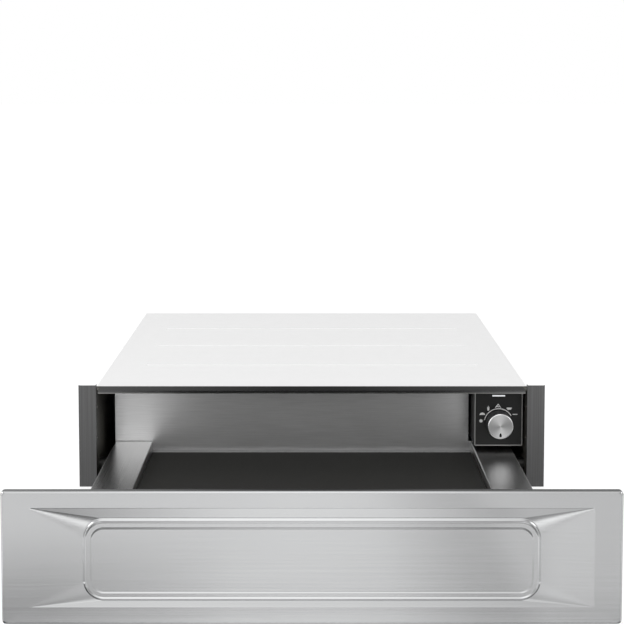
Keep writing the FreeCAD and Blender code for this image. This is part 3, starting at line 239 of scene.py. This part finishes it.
for lamp_name, (lamp_place, target, wide, tall, watts) in LAMPS.items():
    light = bpy.data.lights.new(lamp_name, "AREA")
    light.shape = "RECTANGLE"
    light.size, light.size_y = wide, tall
    light.energy = watts
    lamp = bpy.data.objects.new(lamp_name, light)
    lamp.location = lamp_place
    lamp.rotation_euler = (Vector(target) - Vector(lamp_place)).to_track_quat("-Z", "Y").to_euler()
    lamp.visible_glossy = False
    bpy.context.scene.collection.objects.link(lamp)

room = bpy.data.worlds.new("room")
room.use_nodes = True
bpy.context.scene.world = room
backdrop = room.node_tree.nodes["Background"]
backdrop.inputs["Color"].default_value = (1, 1, 1, 1)
rightward, backward, upward = map(coordinates(room.node_tree, "Generated").axis, range(3))
ends = abs(rightward).span(*ROOM_ENDS_ACROSS) * abs(upward).span(*ROOM_ENDS_UPRIGHT)
before = upward.ramp(ROOM_LEVELS) * abs(rightward).ramp(ROOM_SIDES) * ends.mixed(1, ROOM_ENDS_SHARE)
behind = abs(rightward).span(*ROOM_BEHIND_ACROSS).mixed(*ROOM_BEHIND)
gloss = backward.span(*ROOM_TURN).mixed(before, behind)
gloss = gloss * rightward.span(*ROOM_RIGHT).mixed(1, ROOM_RIGHT_SHARE)
direct = seen_by(room.node_tree, "Camera")
mirrored = seen_by(room.node_tree, "Glossy", "Transmission")
strength = direct + mirrored * gloss + (1 - direct.most(mirrored)) * ROOM_LIGHT
room.node_tree.links.new(strength.output, backdrop.inputs["Strength"])

bpy.ops.object.select_all(action="DESELECT")
bpy.ops.mesh.primitive_plane_add(size=FLOOR_SIZE, location=(0, 0, -FLOOR_DROP))
floor = bpy.context.object
floor.name = "floor"
bpy.ops.object.transform_apply(location=True, rotation=True, scale=True)
pale = bpy.data.materials.new("pale_floor")
pale.use_nodes = True
pale.node_tree.nodes.clear()
direct = seen_by(pale.node_tree, "Camera")
mirrored = seen_by(pale.node_tree, "Glossy", "Transmission")
spot = coordinates(pale.node_tree, "Object")
across, ahead = spot.axis(0), FRONT_EDGE - spot.axis(1)
pool = abs(across).span(*POOL_ACROSS) * POOL_GLOW
reach = across.span(*SHADE_TURN).mixed(*SHADE_REACH)
shaded = abs(across).span(*SHADE_INNER) * abs(across).span(*SHADE_OUTER)
shaded = shaded * ahead.span(reach, reach - SHADE_FADE)
shine = (pool + MIRRORED_GLOW) * (1 - shaded) * ahead.span(*NEAR_AHEAD).mixed(NEAR_SHARE, 1)
shine = shine * (across.span(*DIP_INNER) * across.span(*DIP_OUTER)).mixed(1, DIP_SHARE)
colour = mirrored.blend(direct.blend(FLOOR_COLOUR, FLOOR_SEEN), MIRRORED_COLOUR)
matt = direct.node("BsdfDiffuse", inputs={"Color": colour})
brightness = direct * FLOOR_GLOW + mirrored * shine
glow = direct.node("Emission", inputs={"Color": (1, 1, 1, 1), "Strength": brightness})
sheer = direct.node("BsdfTransparent", inputs={"Color": mirrored.blend((0, 0, 0), (1, 1, 1))})
lit = direct.node("AddShader", inputs={0: matt, 1: glow})
direct.node("OutputMaterial", inputs={"Surface": direct.node("AddShader", inputs={0: lit, 1: sheer})})
floor.data.materials.append(pale)


# ---------------------------------------------------------------------------
# Housing. Zinc-coated steel sheet, folded and screwed. The coating shows faint
# spangles; the cover has a pale coat outside. The cover's hidden faces and front edge
# and the inner faces of the side walls are near black: painted shade.
# ---------------------------------------------------------------------------

ZINC = (0.84, 0.85, 0.86)
ZINC_ROUGH = 0.34
SPANGLE_SCALE = 60
SPANGLE_TONES = (0.90, 1.08)
SPANGLE_ROUGH = 0.12
CLOUD_ROUGH = 0.1
COVER_COAT = (0.96, 0.96, 0.96)
COVER_TONES = (0.97, 1.0)
COVER_CLOUD = 90
COVER_ROUGH = 0.5
COVER_GLOSS = 0.15
COVER_EDGE = 0.0015
COVER_LOW, COVER_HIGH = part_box("top_cover")
PAINTED_SHADE_BLACK = (0.10, 0.097, 0.085)
WALL_INSIDE = 0.2776
WALL_CLOUD = 30


class Finish:
    """A material in the making: its node tree, its shader and the place on the piece."""

    def __init__(self, name):
        self.material = bpy.data.materials.new(name)
        self.material.use_nodes = True
        self.tree = self.material.node_tree
        self.shader = self.tree.nodes["Principled BSDF"]
        self.place = coordinates(self.tree, "Object")

    def set(self, **values):
        """Sets sockets of the shader; an underscore stands for a space in a socket's name."""
        for name, value in values.items():
            socket = self.shader.inputs[name.replace("_", " ")]
            if isinstance(value, Signal):
                self.tree.links.new(value.output, socket)
            else:
                socket.default_value = opaque(value) if isinstance(value, tuple) else value
        return self

    def tone(self):
        """The colour that the finish has so far."""
        return Signal(self.tree, self.shader.inputs["Base Color"].links[0].from_socket)

    def grain(self, scale=1, stretch=(1, 1, 1), detail=2):
        """Noise whose grain is drawn out by stretch; its values run from about 0.2 to 0.8."""
        drawn = self.place.node("Mapping", inputs={"Vector": self.place, "Scale": stretch})
        return drawn.node("TexNoise", inputs={"Vector": drawn, "Scale": scale, "Detail": detail})

    def bump(self, height, distance):
        """Raises the surface by a height signal over a distance in metres."""
        return self.set(Normal=height.node("Bump", inputs={"Height": height, "Distance": distance}))


def shade(colour, factor):
    """A colour made lighter or darker."""
    return tuple(channel * factor for channel in colour)


def mottled(pattern, colour, tones):
    """A colour in its first tone where the pattern is 0, in its second where it is 1."""
    return pattern.blend(shade(colour, tones[0]), shade(colour, tones[1]))


def wear(finish, *names):
    """Gives CAD nodes one finish."""
    for name in names:
        NODES[name].data.materials.clear()
        NODES[name].data.materials.append(finish.material)


zinc = Finish("zinc_sheet")
crystals = zinc.place.node("TexVoronoi", inputs={0: zinc.place, "Scale": SPANGLE_SCALE}, result="Color")
spangle = crystals.node("RGBToBW", inputs={0: crystals})
zinc.set(Base_Color=mottled(spangle, ZINC, SPANGLE_TONES), Metallic=1.0,
         Roughness=spangle * SPANGLE_ROUGH + ZINC_ROUGH)
wear(zinc, "base_pan", "rear_panel", "rear_baffle")

cover = Finish("cover_coat")
cloud = cover.grain(COVER_CLOUD, detail=3)
# Painted shade: the cover's inner faces and its front edge are near black.
inside = cover.place.axis(2).below(COVER_HIGH.z - COVER_EDGE)
inside = inside * abs(cover.place.axis(0)).below(COVER_HIGH.x - COVER_EDGE)
inside = inside * cover.place.axis(1).below(COVER_HIGH.y - COVER_EDGE)
cover_shade = inside.most(cover.place.axis(1).below(COVER_LOW.y + COVER_EDGE / 2))
cover.set(Base_Color=cover_shade.blend(mottled(cloud, COVER_COAT, COVER_TONES), PAINTED_SHADE_BLACK),
          Roughness=cloud * CLOUD_ROUGH + COVER_ROUGH, Specular_IOR_Level=COVER_GLOSS)
wear(cover, "top_cover")

wall = Finish("wall_sheet")
# Painted shade: the inner faces of the side walls are near black and not metallic.
inner = abs(wall.place.axis(0)).below(WALL_INSIDE)
wall.set(Base_Color=inner.blend(ZINC, PAINTED_SHADE_BLACK), Metallic=1 - inner,
         Roughness=wall.grain(WALL_CLOUD) * CLOUD_ROUGH + ZINC_ROUGH)
wear(wall, "side_wall_left", "side_wall_right")


# ---------------------------------------------------------------------------
# Front frame. Dark stainless profiles beside and above the drawer's mouth,
# roll-formed, brushed along their length and left a little uneven by the rolls.
# The rail's lower lip carries a painted highlight, a bright line.
# ---------------------------------------------------------------------------

TRIM_STEEL = (0.21, 0.21, 0.211)
TRIM_TONES = (0.84, 1.16)
TRIM_BRUSH = (900, 900, 4)
RAIL_STEEL = (0.155, 0.155, 0.155)
RAIL_TONES = (0.85, 1.15)
RAIL_BRUSH = (4, 900, 900)
RAIL_LIP_HIGHLIGHT = (0.42, 0.42, 0.41)
RAIL_HIGHLIGHT_HEIGHT = 0.0012
ROLL_RELIEF = 0.00004
ROLL_ROUGH = 0.08
BRUSH_RANGE = (0.3, 0.7)


def frame_steel(name, colour, tones, stretch, rough):
    """Dark brushed steel; stretch draws the brush marks out along the profile."""
    steel = Finish(name)
    brush = steel.grain(stretch=stretch, detail=4)
    marks = brush.span(*BRUSH_RANGE)
    steel.set(Base_Color=mottled(marks, colour, tones), Metallic=1.0,
              Roughness=marks * ROLL_ROUGH + rough)
    return steel.bump(brush, ROLL_RELIEF)


trim_steel = frame_steel("frame_steel", TRIM_STEEL, TRIM_TONES, TRIM_BRUSH, rough=0.34)
wear(trim_steel, "trim_left", "trim_right")

rail_steel = frame_steel("rail_steel", RAIL_STEEL, RAIL_TONES, RAIL_BRUSH, rough=0.18)
# A painted highlight: the rail's lower lip is a bright line.
lip_highlight = rail_steel.place.axis(2).below(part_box("top_rail")[0].z + RAIL_HIGHLIGHT_HEIGHT)
rail_steel.set(Base_Color=lip_highlight.blend(rail_steel.tone(), RAIL_LIP_HIGHLIGHT))
wear(rail_steel, "top_rail")


# ---------------------------------------------------------------------------
# Screws. Zinc-plated pan heads, driven through the cover and the rear panel and
# through the drawer's front. The latch's striker is plated with them.
# ---------------------------------------------------------------------------

SCREW_ZINC = (0.60, 0.60, 0.60)
PLATE_CLOUD = 180
PLATE_TONES = (0.92, 1.06)
PLATE_ROUGH = 0.15


def plated_steel(name, colour, rough):
    """Plain plated metal with a slight cloud in its gloss."""
    plate = Finish(name)
    cloud = plate.grain(PLATE_CLOUD)
    return plate.set(Base_Color=mottled(cloud, colour, PLATE_TONES), Metallic=1.0,
                     Roughness=cloud * PLATE_ROUGH + rough)


wear(plated_steel("screw_steel", SCREW_ZINC, rough=0.22), "cover_screws", "rear_screws",
     "panel_screws", "latch_striker")


# ---------------------------------------------------------------------------
# Heater. A bright reflector plate, two ceramic combs and a sheathed tube that
# has been dulled by heat.
# ---------------------------------------------------------------------------

REFLECTOR_STEEL = (0.80, 0.81, 0.82)
COMB_CERAMIC = (0.82, 0.80, 0.74)
TUBE_STEEL = (0.20, 0.19, 0.18)
MOULD_TONES = (0.92, 1.08)
MOULD_ROUGH = 0.2


def moulded(name, colour, rough, grain_scale=400, relief=0.00003):
    """Moulded plastic, rubber or ceramic with a fine matt grain."""
    body = Finish(name)
    grain = body.grain(grain_scale)
    body.set(Base_Color=mottled(grain, colour, MOULD_TONES), Roughness=grain * MOULD_ROUGH + rough)
    return body.bump(grain, relief)


wear(plated_steel("reflector_steel", REFLECTOR_STEEL, rough=0.15), "reflector_plate")
wear(moulded("support_ceramic", COMB_CERAMIC, rough=0.6),
     "heater_support_front", "heater_support_rear")
wear(plated_steel("element_steel", TUBE_STEEL, rough=0.4), "heating_element")


# ---------------------------------------------------------------------------
# Fan and wiring ends. A small motor on a zinc strap turns a black moulded wheel;
# the cut-out and the terminal block are pale moulded plastic.
# ---------------------------------------------------------------------------

MOTOR_STEEL = (0.20, 0.20, 0.21)
DARK_PLASTIC = (0.030, 0.030, 0.032)
LIGHT_PLASTIC = (0.78, 0.77, 0.73)

wear(zinc, "fan_bracket")
wear(plated_steel("motor_steel", MOTOR_STEEL, rough=0.35), "fan_motor")
dark_plastic = moulded("dark_plastic", DARK_PLASTIC, rough=0.35)
wear(dark_plastic, "fan_wheel", "cable_gland", "latch_case")
light_plastic = moulded("light_plastic", LIGHT_PLASTIC, rough=0.4)
wear(light_plastic, "thermal_cutout", "terminal_block", "latch_plunger", "pilot_lamp")


# ---------------------------------------------------------------------------
# Control box. A pressed steel plate in satin black paint with a bright steel band
# along its raised rim, on a blackened box that holds the thermostat and the pilot lamp.
# ---------------------------------------------------------------------------

CONTROL_BLACK = (0.012, 0.012, 0.0115)
CONTROL_GRAIN = 500
CONTROL_ROUGH = 0.32
CONTROL_GLOSS = 0.4
CONTROL_RELIEF = 0.00002
RIM_STEEL = (0.42, 0.42, 0.41)
RIM_WIDTH = 0.0012
FASCIA_LOW, FASCIA_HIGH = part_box("control_fascia")
BOX_STEEL = (0.05, 0.05, 0.05)
THERMOSTAT_STEEL = (0.5, 0.5, 0.5)
BULB_COPPER = (0.72, 0.43, 0.28)

paint = Finish("control_paint")
right, up = paint.place.axis(0), paint.place.axis(2)
closest, *others = [right - FASCIA_LOW.x, FASCIA_HIGH.x - right, up - FASCIA_LOW.z, FASCIA_HIGH.z - up]
for distance in others:
    closest = closest.least(distance)
rim = closest.below(RIM_WIDTH)
satin = paint.grain(CONTROL_GRAIN)
paint.set(Base_Color=rim.blend(CONTROL_BLACK, RIM_STEEL), Metallic=rim,
          Roughness=satin * CLOUD_ROUGH + CONTROL_ROUGH, Specular_IOR_Level=CONTROL_GLOSS)
paint.bump(satin, CONTROL_RELIEF)
wear(paint, "control_fascia")
wear(plated_steel("control_box_steel", BOX_STEEL, rough=0.4), "control_box")
wear(plated_steel("thermostat_steel", THERMOSTAT_STEEL, rough=0.35), "thermostat")
wear(plated_steel("copper_tube", BULB_COPPER, rough=0.3), "sensor_bulb")


# ---------------------------------------------------------------------------
# Pilot light. A frosted clear bar, pressed into the control plate from behind
# and lit by its lamp along the middle; above and below it stays dark.
# ---------------------------------------------------------------------------

LENS_LOW, LENS_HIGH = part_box("pilot_lens")
LENS_DARK = (0.03, 0.03, 0.03)
LENS_FROST = ((0.85, 0.87, 0.9), (0.97, 0.98, 1.0))
LENS_GRAIN = 900
LENS_ROUGH = 0.2
LAMP_HALF = 0.0009
LAMP_WHITE = ((0.9, 0.92, 0.95), (1, 1, 1))
LAMP_POWER = 0.55

lens = Finish("pilot_glass")
frost = lens.grain(LENS_GRAIN)
lit = abs(lens.place.axis(2) - (LENS_LOW.z + LENS_HIGH.z) / 2).below(LAMP_HALF)
lens.set(Base_Color=lit.blend(LENS_DARK, frost.blend(*LENS_FROST)),
         Roughness=frost * LENS_ROUGH + LENS_ROUGH,
         Emission_Color=lit.blend((0, 0, 0), frost.blend(*LAMP_WHITE)), Emission_Strength=LAMP_POWER)
wear(lens, "pilot_lens")


# ---------------------------------------------------------------------------
# Scale of the dial. White marks printed on the black plate: an arc round the
# knob and six small plain signs for the dishes and heats that it is set to.
# ---------------------------------------------------------------------------

DIAL_LOW, DIAL_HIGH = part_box("knob_cap")
DIAL_ACROSS = (DIAL_LOW.x + DIAL_HIGH.x) / 2
DIAL_UP = (DIAL_LOW.z + DIAL_HIGH.z) / 2
RIM_PROUD = 0.0006
PRINT_FACE = FASCIA_LOW.y + RIM_PROUD
PRINT_THICK = 0.00006
PRINT_WHITE = (0.96, 0.96, 0.95)
PRINT_TONES = (0.8, 1.0)
PRINT_SPECK = 1500
PRINT_ROUGH = 0.45
SPECK_ROUGH = 0.2
ARC_RADIUS = 0.0187
ARC_LINE = 0.0012
ARC_LAP = 0.00006
ARC_ENDS = (30, 168)
ARC_STEPS = 48
SIGN_LINE = 0.0011
SIGN_LAP = 0.00055

# Lines that touch differ in thickness by these shares, so that no two faces lie on each other.
SIDE_STEP = 0.1
STROKE_STEP = 0.2

# Each sign's middle from the knob's axis in metres, and its strokes from there in millimetres.
SIGNS = {
    "star": ((-0.0229, 0.0027), [
        ((-2.0, 0), (2.0, 0)),
        ((0, -2.0), (0, 2.0)),
        ((-1.4, -1.4), (1.4, 1.4)),
        ((-1.4, 1.4), (1.4, -1.4)),
    ]),
    "dish": ((-0.0211, 0.0119), [
        ((-3.2, -1.2), (-2.2, 0.6), (0, 1.3), (2.2, 0.6), (3.2, -1.2)),
        ((-2.6, -0.8), (2.6, -0.8)),
        ((-2.0, 0.1), (2.0, 0.1)),
    ]),
    "glass": ((-0.0135, 0.0188), [
        ((-0.9, 1.7), (-0.7, -2.0), (0.7, -2.0), (0.9, 1.7)),
        ((0, -2.0), (0, 1.5)),
        ((0, 2.7), (0, 3.2)),
    ]),
    "steam": ((-0.0009, 0.0221), [
        ((-3.4, -1.9), (0, 2.6), (3.4, -1.9)),
        ((-1.8, -1.0), (-0.6, -0.2), (0.6, -1.0), (1.8, -0.2)),
    ]),
    "bowl": ((0.0136, 0.0188), [
        ((-3.0, 0.9), (-2.0, -0.9), (2.0, -0.9), (3.0, 0.9), (-3.0, 0.9)),
        ((-2.3, 0.0), (2.3, 0.0)),
    ]),
    "plates": ((0.0212, 0.0113), [
        ((-2.8, 0.0), (2.8, 0.0)),
    ]),
}


def ink_line(points, width, lap, stroke=0):
    """Lays a flat printed line through points of the plate's face; its parts lap at the corners."""
    for number, (start, end) in enumerate(zip(points, points[1:])):
        run = Vector((end[0] - start[0], end[1] - start[1]))
        thick = PRINT_THICK * (1 + stroke * STROKE_STEP + number % 2 * SIDE_STEP)
        middle = ((start[0] + end[0]) / 2, PRINT_FACE - thick / 2, (start[1] + end[1]) / 2)
        bpy.ops.mesh.primitive_cube_add(size=1, location=middle)
        bpy.ops.transform.resize(value=(run.length + lap, thick, width), center_override=middle)
        bpy.ops.transform.rotate(value=math.atan2(run.y, run.x), orient_axis="Y", center_override=middle)


def start_piece(name):
    """Opens an empty mesh object in edit mode, to be filled with primitives."""
    bpy.ops.object.select_all(action="DESELECT")
    bpy.ops.mesh.primitive_plane_add(size=1)
    piece = bpy.context.object
    piece.name = name
    bpy.ops.object.mode_set(mode="EDIT")
    bpy.ops.mesh.delete(type="VERT")
    return piece


def end_piece(piece, finish, body):
    """Closes the edit, gives the piece its finish and lets it ride on a body."""
    bpy.ops.object.mode_set(mode="OBJECT")
    piece.data.materials.clear()
    piece.data.materials.append(finish.material)
    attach(piece, body)


ink = Finish("print_white")
speck = ink.grain(PRINT_SPECK)
ink.set(Base_Color=mottled(speck, PRINT_WHITE, PRINT_TONES),
        Roughness=speck * SPECK_ROUGH + PRINT_ROUGH)

scale = start_piece("dial_scale")
first, last = ARC_ENDS
angles = [math.radians(first + (last - first) * step / ARC_STEPS) for step in range(ARC_STEPS + 1)]
ink_line([(DIAL_ACROSS + ARC_RADIUS * math.cos(angle), DIAL_UP + ARC_RADIUS * math.sin(angle))
          for angle in angles], ARC_LINE, ARC_LAP)
for (sign_right, sign_up), strokes in SIGNS.values():
    for number, stroke in enumerate(strokes):
        ink_line([(DIAL_ACROSS + sign_right + x / 1000, DIAL_UP + sign_up + z / 1000) for x, z in stroke],
                 SIGN_LINE, SIGN_LAP, number)
end_piece(scale, ink, "housing")


# ---------------------------------------------------------------------------
# Knob. A black moulded body with a turned aluminium cap glued on its face. The
# cap's mark is a drop-shaped inlay of black lacquer.
# ---------------------------------------------------------------------------

CAP_SILVER = (0.80, 0.80, 0.80)
CAP_RADIUS = (DIAL_HIGH.x - DIAL_LOW.x) / 2
CAP_LIP = 0.0009
LIP_HIGHLIGHT_TONE = 1.2
PAINTED_SHEEN_TONES = (0.46, 1.25)
PAINTED_SHEEN_TURN = math.radians(104)
RING_SCALE = 1400
RING_SHARE = 0.5
RING_RELIEF = 0.00005
CAP_ROUGH = 0.26
MARK_DOWN = 0.0122
MARK_PLACE = (DIAL_ACROSS, DIAL_LOW.y, DIAL_UP - MARK_DOWN)
MARK_RADIUS = 0.0015
MARK_TIP = 0.0036
MARK_THICK = 0.0001
MARK_SIDES = 32
LACQUER_BLACK = (0.004, 0.004, 0.004)
LACQUER_GLOSS = 0.2

wear(dark_plastic, "knob_body")

spun = Finish("spun_metal")
right, up = spun.place.axis(0) - DIAL_ACROSS, spun.place.axis(2) - DIAL_UP
radius = (right * right + up * up) ** 0.5
rings = radius.node("TexNoise", {"noise_dimensions": "1D"},
                    {"W": radius, "Scale": RING_SCALE, "Detail": 2})
# Painted highlights: two bright sectors across the cap, turned to a set angle, and a brighter outer lip.
turned = up.maths("ARCTAN2", up, right) - PAINTED_SHEEN_TURN
painted_sheen = turned.maths("COSINE", turned * 2) * 0.5 + 0.5
silver = (rings * RING_SHARE).blend(mottled(painted_sheen, CAP_SILVER, PAINTED_SHEEN_TONES), CAP_SILVER)
lip_highlight = radius.above(CAP_RADIUS - CAP_LIP)
spun.set(Base_Color=lip_highlight.blend(silver, shade(CAP_SILVER, LIP_HIGHLIGHT_TONE)), Metallic=1.0,
         Roughness=rings * CLOUD_ROUGH + CAP_ROUGH)
spun.bump(rings, RING_RELIEF)
wear(spun, "knob_cap")

mark = start_piece("knob_mark")
bpy.ops.mesh.primitive_cylinder_add(vertices=MARK_SIDES, radius=MARK_RADIUS, depth=MARK_THICK,
                                    location=MARK_PLACE, rotation=(math.pi / 2, 0, 0))
drop = bmesh.from_edit_mesh(mark.data)
for vertex in drop.verts:
    vertex.select = vertex.co.z > MARK_PLACE[2]
drop.select_flush(True)
bmesh.update_edit_mesh(mark.data)
bpy.ops.transform.resize(value=(1, 1, MARK_TIP / MARK_RADIUS), center_override=MARK_PLACE)
lacquer = moulded("black_lacquer", LACQUER_BLACK, rough=0.5).set(Specular_IOR_Level=LACQUER_GLOSS)
end_piece(mark, lacquer, "knob")


# ---------------------------------------------------------------------------
# Runners. Three-part telescopic steel rails, with polished balls in their pressed
# cages, on brackets between the drawer and the housing. The rails' dark grey and
# the brackets' near black are painted shade.
# ---------------------------------------------------------------------------

# Painted shade: the runners' dark grey and the brackets' near black.
RUNNER_SHADE = (0.16, 0.16, 0.165)
BRACKET_SHADE = (0.06, 0.06, 0.058)
BALL_STEEL = (0.70, 0.71, 0.73)

runner_steel = plated_steel("runner_steel", RUNNER_SHADE, rough=0.3)
bracket_steel = plated_steel("bracket_steel", BRACKET_SHADE, rough=0.45)
ball_steel = plated_steel("ball_steel", BALL_STEEL, rough=0.1)
for side in ("left", "right"):
    wear(runner_steel, f"runner_fixed_{side}", f"runner_middle_{side}", f"runner_drawer_{side}")
    wear(bracket_steel, f"runner_bracket_{side}")
    wear(ball_steel, f"outer_ball_cage_{side}", f"inner_ball_cage_{side}")


# ---------------------------------------------------------------------------
# Drawer box. A folded stainless tray with wide side rims, a rear wall and an
# inner front, all brushed along their length, and a black rubber mat on the floor.
# Painted shade darkens the tray low down by the mat and the walls' feet; a painted
# highlight makes the tray's outermost fold a pale line.
# ---------------------------------------------------------------------------

DRAWER_STEEL = (0.66, 0.66, 0.66)
DRAWER_BRUSH = (3000, 6, 3000)
TRAY_SHADE_HEIGHTS = (0.0035, 0.001)
TRAY_SHADE_SHARE = 0.52
FOLD_LINE = 0.0008
FOLD_HIGHLIGHT = (0.34, 0.34, 0.34)
REAR_STEEL = (0.90, 0.90, 0.90)
REAR_BRUSH = (30, 1800, 1800)
FOOT_HEIGHT = 0.0004
FOOT_SHADE_SHARE = 0.6
STEEL_CLOUD = 5
STEEL_ROUGH = 0.04
MAT_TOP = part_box("anti_slip_mat")[1].z
MAT_RUBBER = (0.016, 0.0156, 0.0142)
MAT_GLOSS = 0.34


def brushed_steel(name, colour, stretch, rough, contrast, relief):
    """Brushed stainless sheet; stretch draws the brush marks out along one axis."""
    steel = Finish(name)
    fine = steel.grain(stretch=stretch, detail=3)
    cloud = steel.grain(STEEL_CLOUD, detail=3)
    marks = fine.span(*BRUSH_RANGE)
    steel.set(Base_Color=mottled(marks, colour, (1 - contrast, 1 + contrast)), Metallic=1.0,
              Roughness=marks * STEEL_ROUGH + cloud * STEEL_ROUGH + rough)
    return steel.bump(fine, relief)


rims = brushed_steel("rim_steel", DRAWER_STEEL, DRAWER_BRUSH,
                     rough=0.25, contrast=0.02, relief=0.000001)
# Painted shade: the tray darkens low down by the mat. A painted highlight makes its outermost fold a
# pale, matt line.
tray_shade = rims.place.axis(2).span(*(MAT_TOP + height for height in TRAY_SHADE_HEIGHTS))
fold_highlight = abs(rims.place.axis(0)).above(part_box("tray")[1].x - FOLD_LINE)
tray_tone = tray_shade.blend(rims.tone(), shade(DRAWER_STEEL, TRAY_SHADE_SHARE))
rims.set(Base_Color=fold_highlight.blend(tray_tone, FOLD_HIGHLIGHT), Metallic=1 - fold_highlight)
wear(rims, "tray")

walls = brushed_steel("wall_steel", REAR_STEEL, REAR_BRUSH,
                      rough=0.36, contrast=0.06, relief=0.00012)
# Painted shade: the walls' feet by the mat are darker.
foot = walls.place.axis(2).below(MAT_TOP + FOOT_HEIGHT)
walls.set(Base_Color=foot.blend(walls.tone(), shade(REAR_STEEL, FOOT_SHADE_SHARE)))
wear(walls, "drawer_rear_wall", "inner_front")

rubber = moulded("mat_rubber", MAT_RUBBER, rough=0.65, grain_scale=700, relief=0.00006)
wear(rubber.set(Specular_IOR_Level=MAT_GLOSS), "anti_slip_mat")


# ---------------------------------------------------------------------------
# Front panel. One stainless sheet pressed to a shallow dish with a raised bead
# round a flat field, its edge folded back round a stiffening plate. The press
# leaves every bend soft.
# ---------------------------------------------------------------------------

PANEL_STEEL = (0.60, 0.605, 0.61)
PANEL_BRUSH = (5, 20, 1000)
PANEL_LOW, PANEL_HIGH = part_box("front_panel")
PANEL_BACK = (0, PANEL_HIGH.y, (PANEL_LOW.z + PANEL_HIGH.z) / 2)
BUMPER_RUBBER = (0.10, 0.10, 0.10)
SKIN = 0.0008
CORNER_STEPS = 12
BEND_STEPS = 5
WIDEST_BEND = 0.003
SMOOTH_BELOW = math.radians(35)
NEAR = 0.0001

# The bead's foot: half length, lower and upper edge, and corner radius.
ISLAND = (0.2204, PANEL_LOW.z + 0.0224, PANEL_HIGH.z - 0.0280, 0.020)
UPPER_WIDTHS = 1.3


def island(inset):
    """The outline of the bead's foot, set in by a width, and by more of it at the top."""
    half, low, high, corner = ISLAND
    return half - inset, low + inset, high - inset * UPPER_WIDTHS, corner - inset


# The bends from the edge inwards: outline, depth behind the front and width of the rounding.
BENDS = [
    ((PANEL_HIGH.x, PANEL_LOW.z, PANEL_HIGH.z, 0.004), 0.0, WIDEST_BEND),
    ((PANEL_HIGH.x - 0.0272, PANEL_LOW.z + 0.0175, PANEL_HIGH.z - 0.0163, 0.0015), 0.0, 0.0009),
    (island(0), 0.0050, 0.0006),
    (island(0.0015), 0.0032, 0.0008),
    (island(0.0033), 0.0043, 0.0004),
    (island(0.0068), 0.0043, 0.0005),
    (island(0.0082), 0.0050, 0.0005),
]


def draw_in(mesh, chosen, old, new):
    """Moves a face's corner points from one rounded rectangle to another, a corner at a time."""
    middle = (old[1] + old[2]) / 2
    quarters = {(right, up): [point for point in chosen
                              if point.co.x * right > 0 and (point.co.z - middle) * up > 0]
                for right in (-1, 1) for up in (-1, 1)}
    for (right, up), points in quarters.items():
        for point in chosen:
            point.select = point in points
        mesh.select_flush_mode()
        at, to = (Vector((right * (half - corner), 0, high - corner if up > 0 else low + corner))
                  for half, low, high, corner in (old, new))
        bpy.ops.transform.resize(value=(new[3] / old[3], 1, new[3] / old[3]), center_override=at)
        bpy.ops.transform.translate(value=to - at)
    for point in chosen:
        point.select = True
    mesh.select_flush_mode()


def finish_with(piece, kind, **settings):
    """Adds a modifier to a piece and applies it."""
    modifier = piece.modifiers.new(kind.lower(), kind)
    for name, value in settings.items():
        setattr(modifier, name, value)
    bpy.ops.object.modifier_apply(modifier=modifier.name)


panel = start_piece("front_panel_skin")
outline, reached = BENDS[0][0], PANEL_HIGH.y
half, low, high, corner = outline
bpy.ops.mesh.primitive_plane_add(size=1, location=PANEL_BACK, rotation=(math.pi / 2, 0, 0))
bpy.ops.transform.resize(value=(half * 2, 1, high - low), center_override=PANEL_BACK)
bpy.ops.mesh.bevel(offset=corner, segments=CORNER_STEPS, affect="VERTICES")
bpy.ops.mesh.select_all(action="SELECT")
bmesh.from_edit_mesh(panel.data).edges.layers.float.new("bevel_weight_edge")
for bend, depth, rounding in BENDS:
    push = (0, PANEL_LOW.y + depth - reached, 0)
    bpy.ops.mesh.extrude_region_move(TRANSFORM_OT_translate={"value": push})
    mesh = bmesh.from_edit_mesh(panel.data)
    weights = mesh.edges.layers.float["bevel_weight_edge"]
    draw_in(mesh, [point for point in mesh.verts if point.select], outline, bend)
    for edge in mesh.edges:
        if edge.select:
            edge[weights] = rounding / WIDEST_BEND
    outline, reached = bend, PANEL_LOW.y + depth
bpy.ops.mesh.select_all(action="DESELECT")
mesh = bmesh.from_edit_mesh(panel.data)
for face in mesh.faces:
    face.select_set(abs(face.calc_center_median().y - PANEL_HIGH.y) < NEAR)
bpy.ops.mesh.delete(type="ONLY_FACE")
bpy.ops.mesh.select_all(action="SELECT")
bpy.ops.mesh.normals_make_consistent(inside=False)
bpy.ops.object.mode_set(mode="OBJECT")
finish_with(panel, "BEVEL", limit_method="WEIGHT", width=WIDEST_BEND, segments=BEND_STEPS,
            use_clamp_overlap=False)
finish_with(panel, "SOLIDIFY", thickness=SKIN, offset=-1, use_even_offset=True)
bpy.ops.object.shade_smooth_by_angle(angle=SMOOTH_BELOW)
finish_with(panel, "WEIGHTED_NORMAL", keep_sharp=True)
panel_steel = brushed_steel("panel_steel", PANEL_STEEL, PANEL_BRUSH,
                            rough=0.11, contrast=0.018, relief=0.000002)
end_piece(panel, panel_steel, "drawer")
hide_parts("front_panel")
wear(zinc, "panel_backing")
wear(moulded("bumper_rubber", BUMPER_RUBBER, rough=0.6), "panel_bumpers")
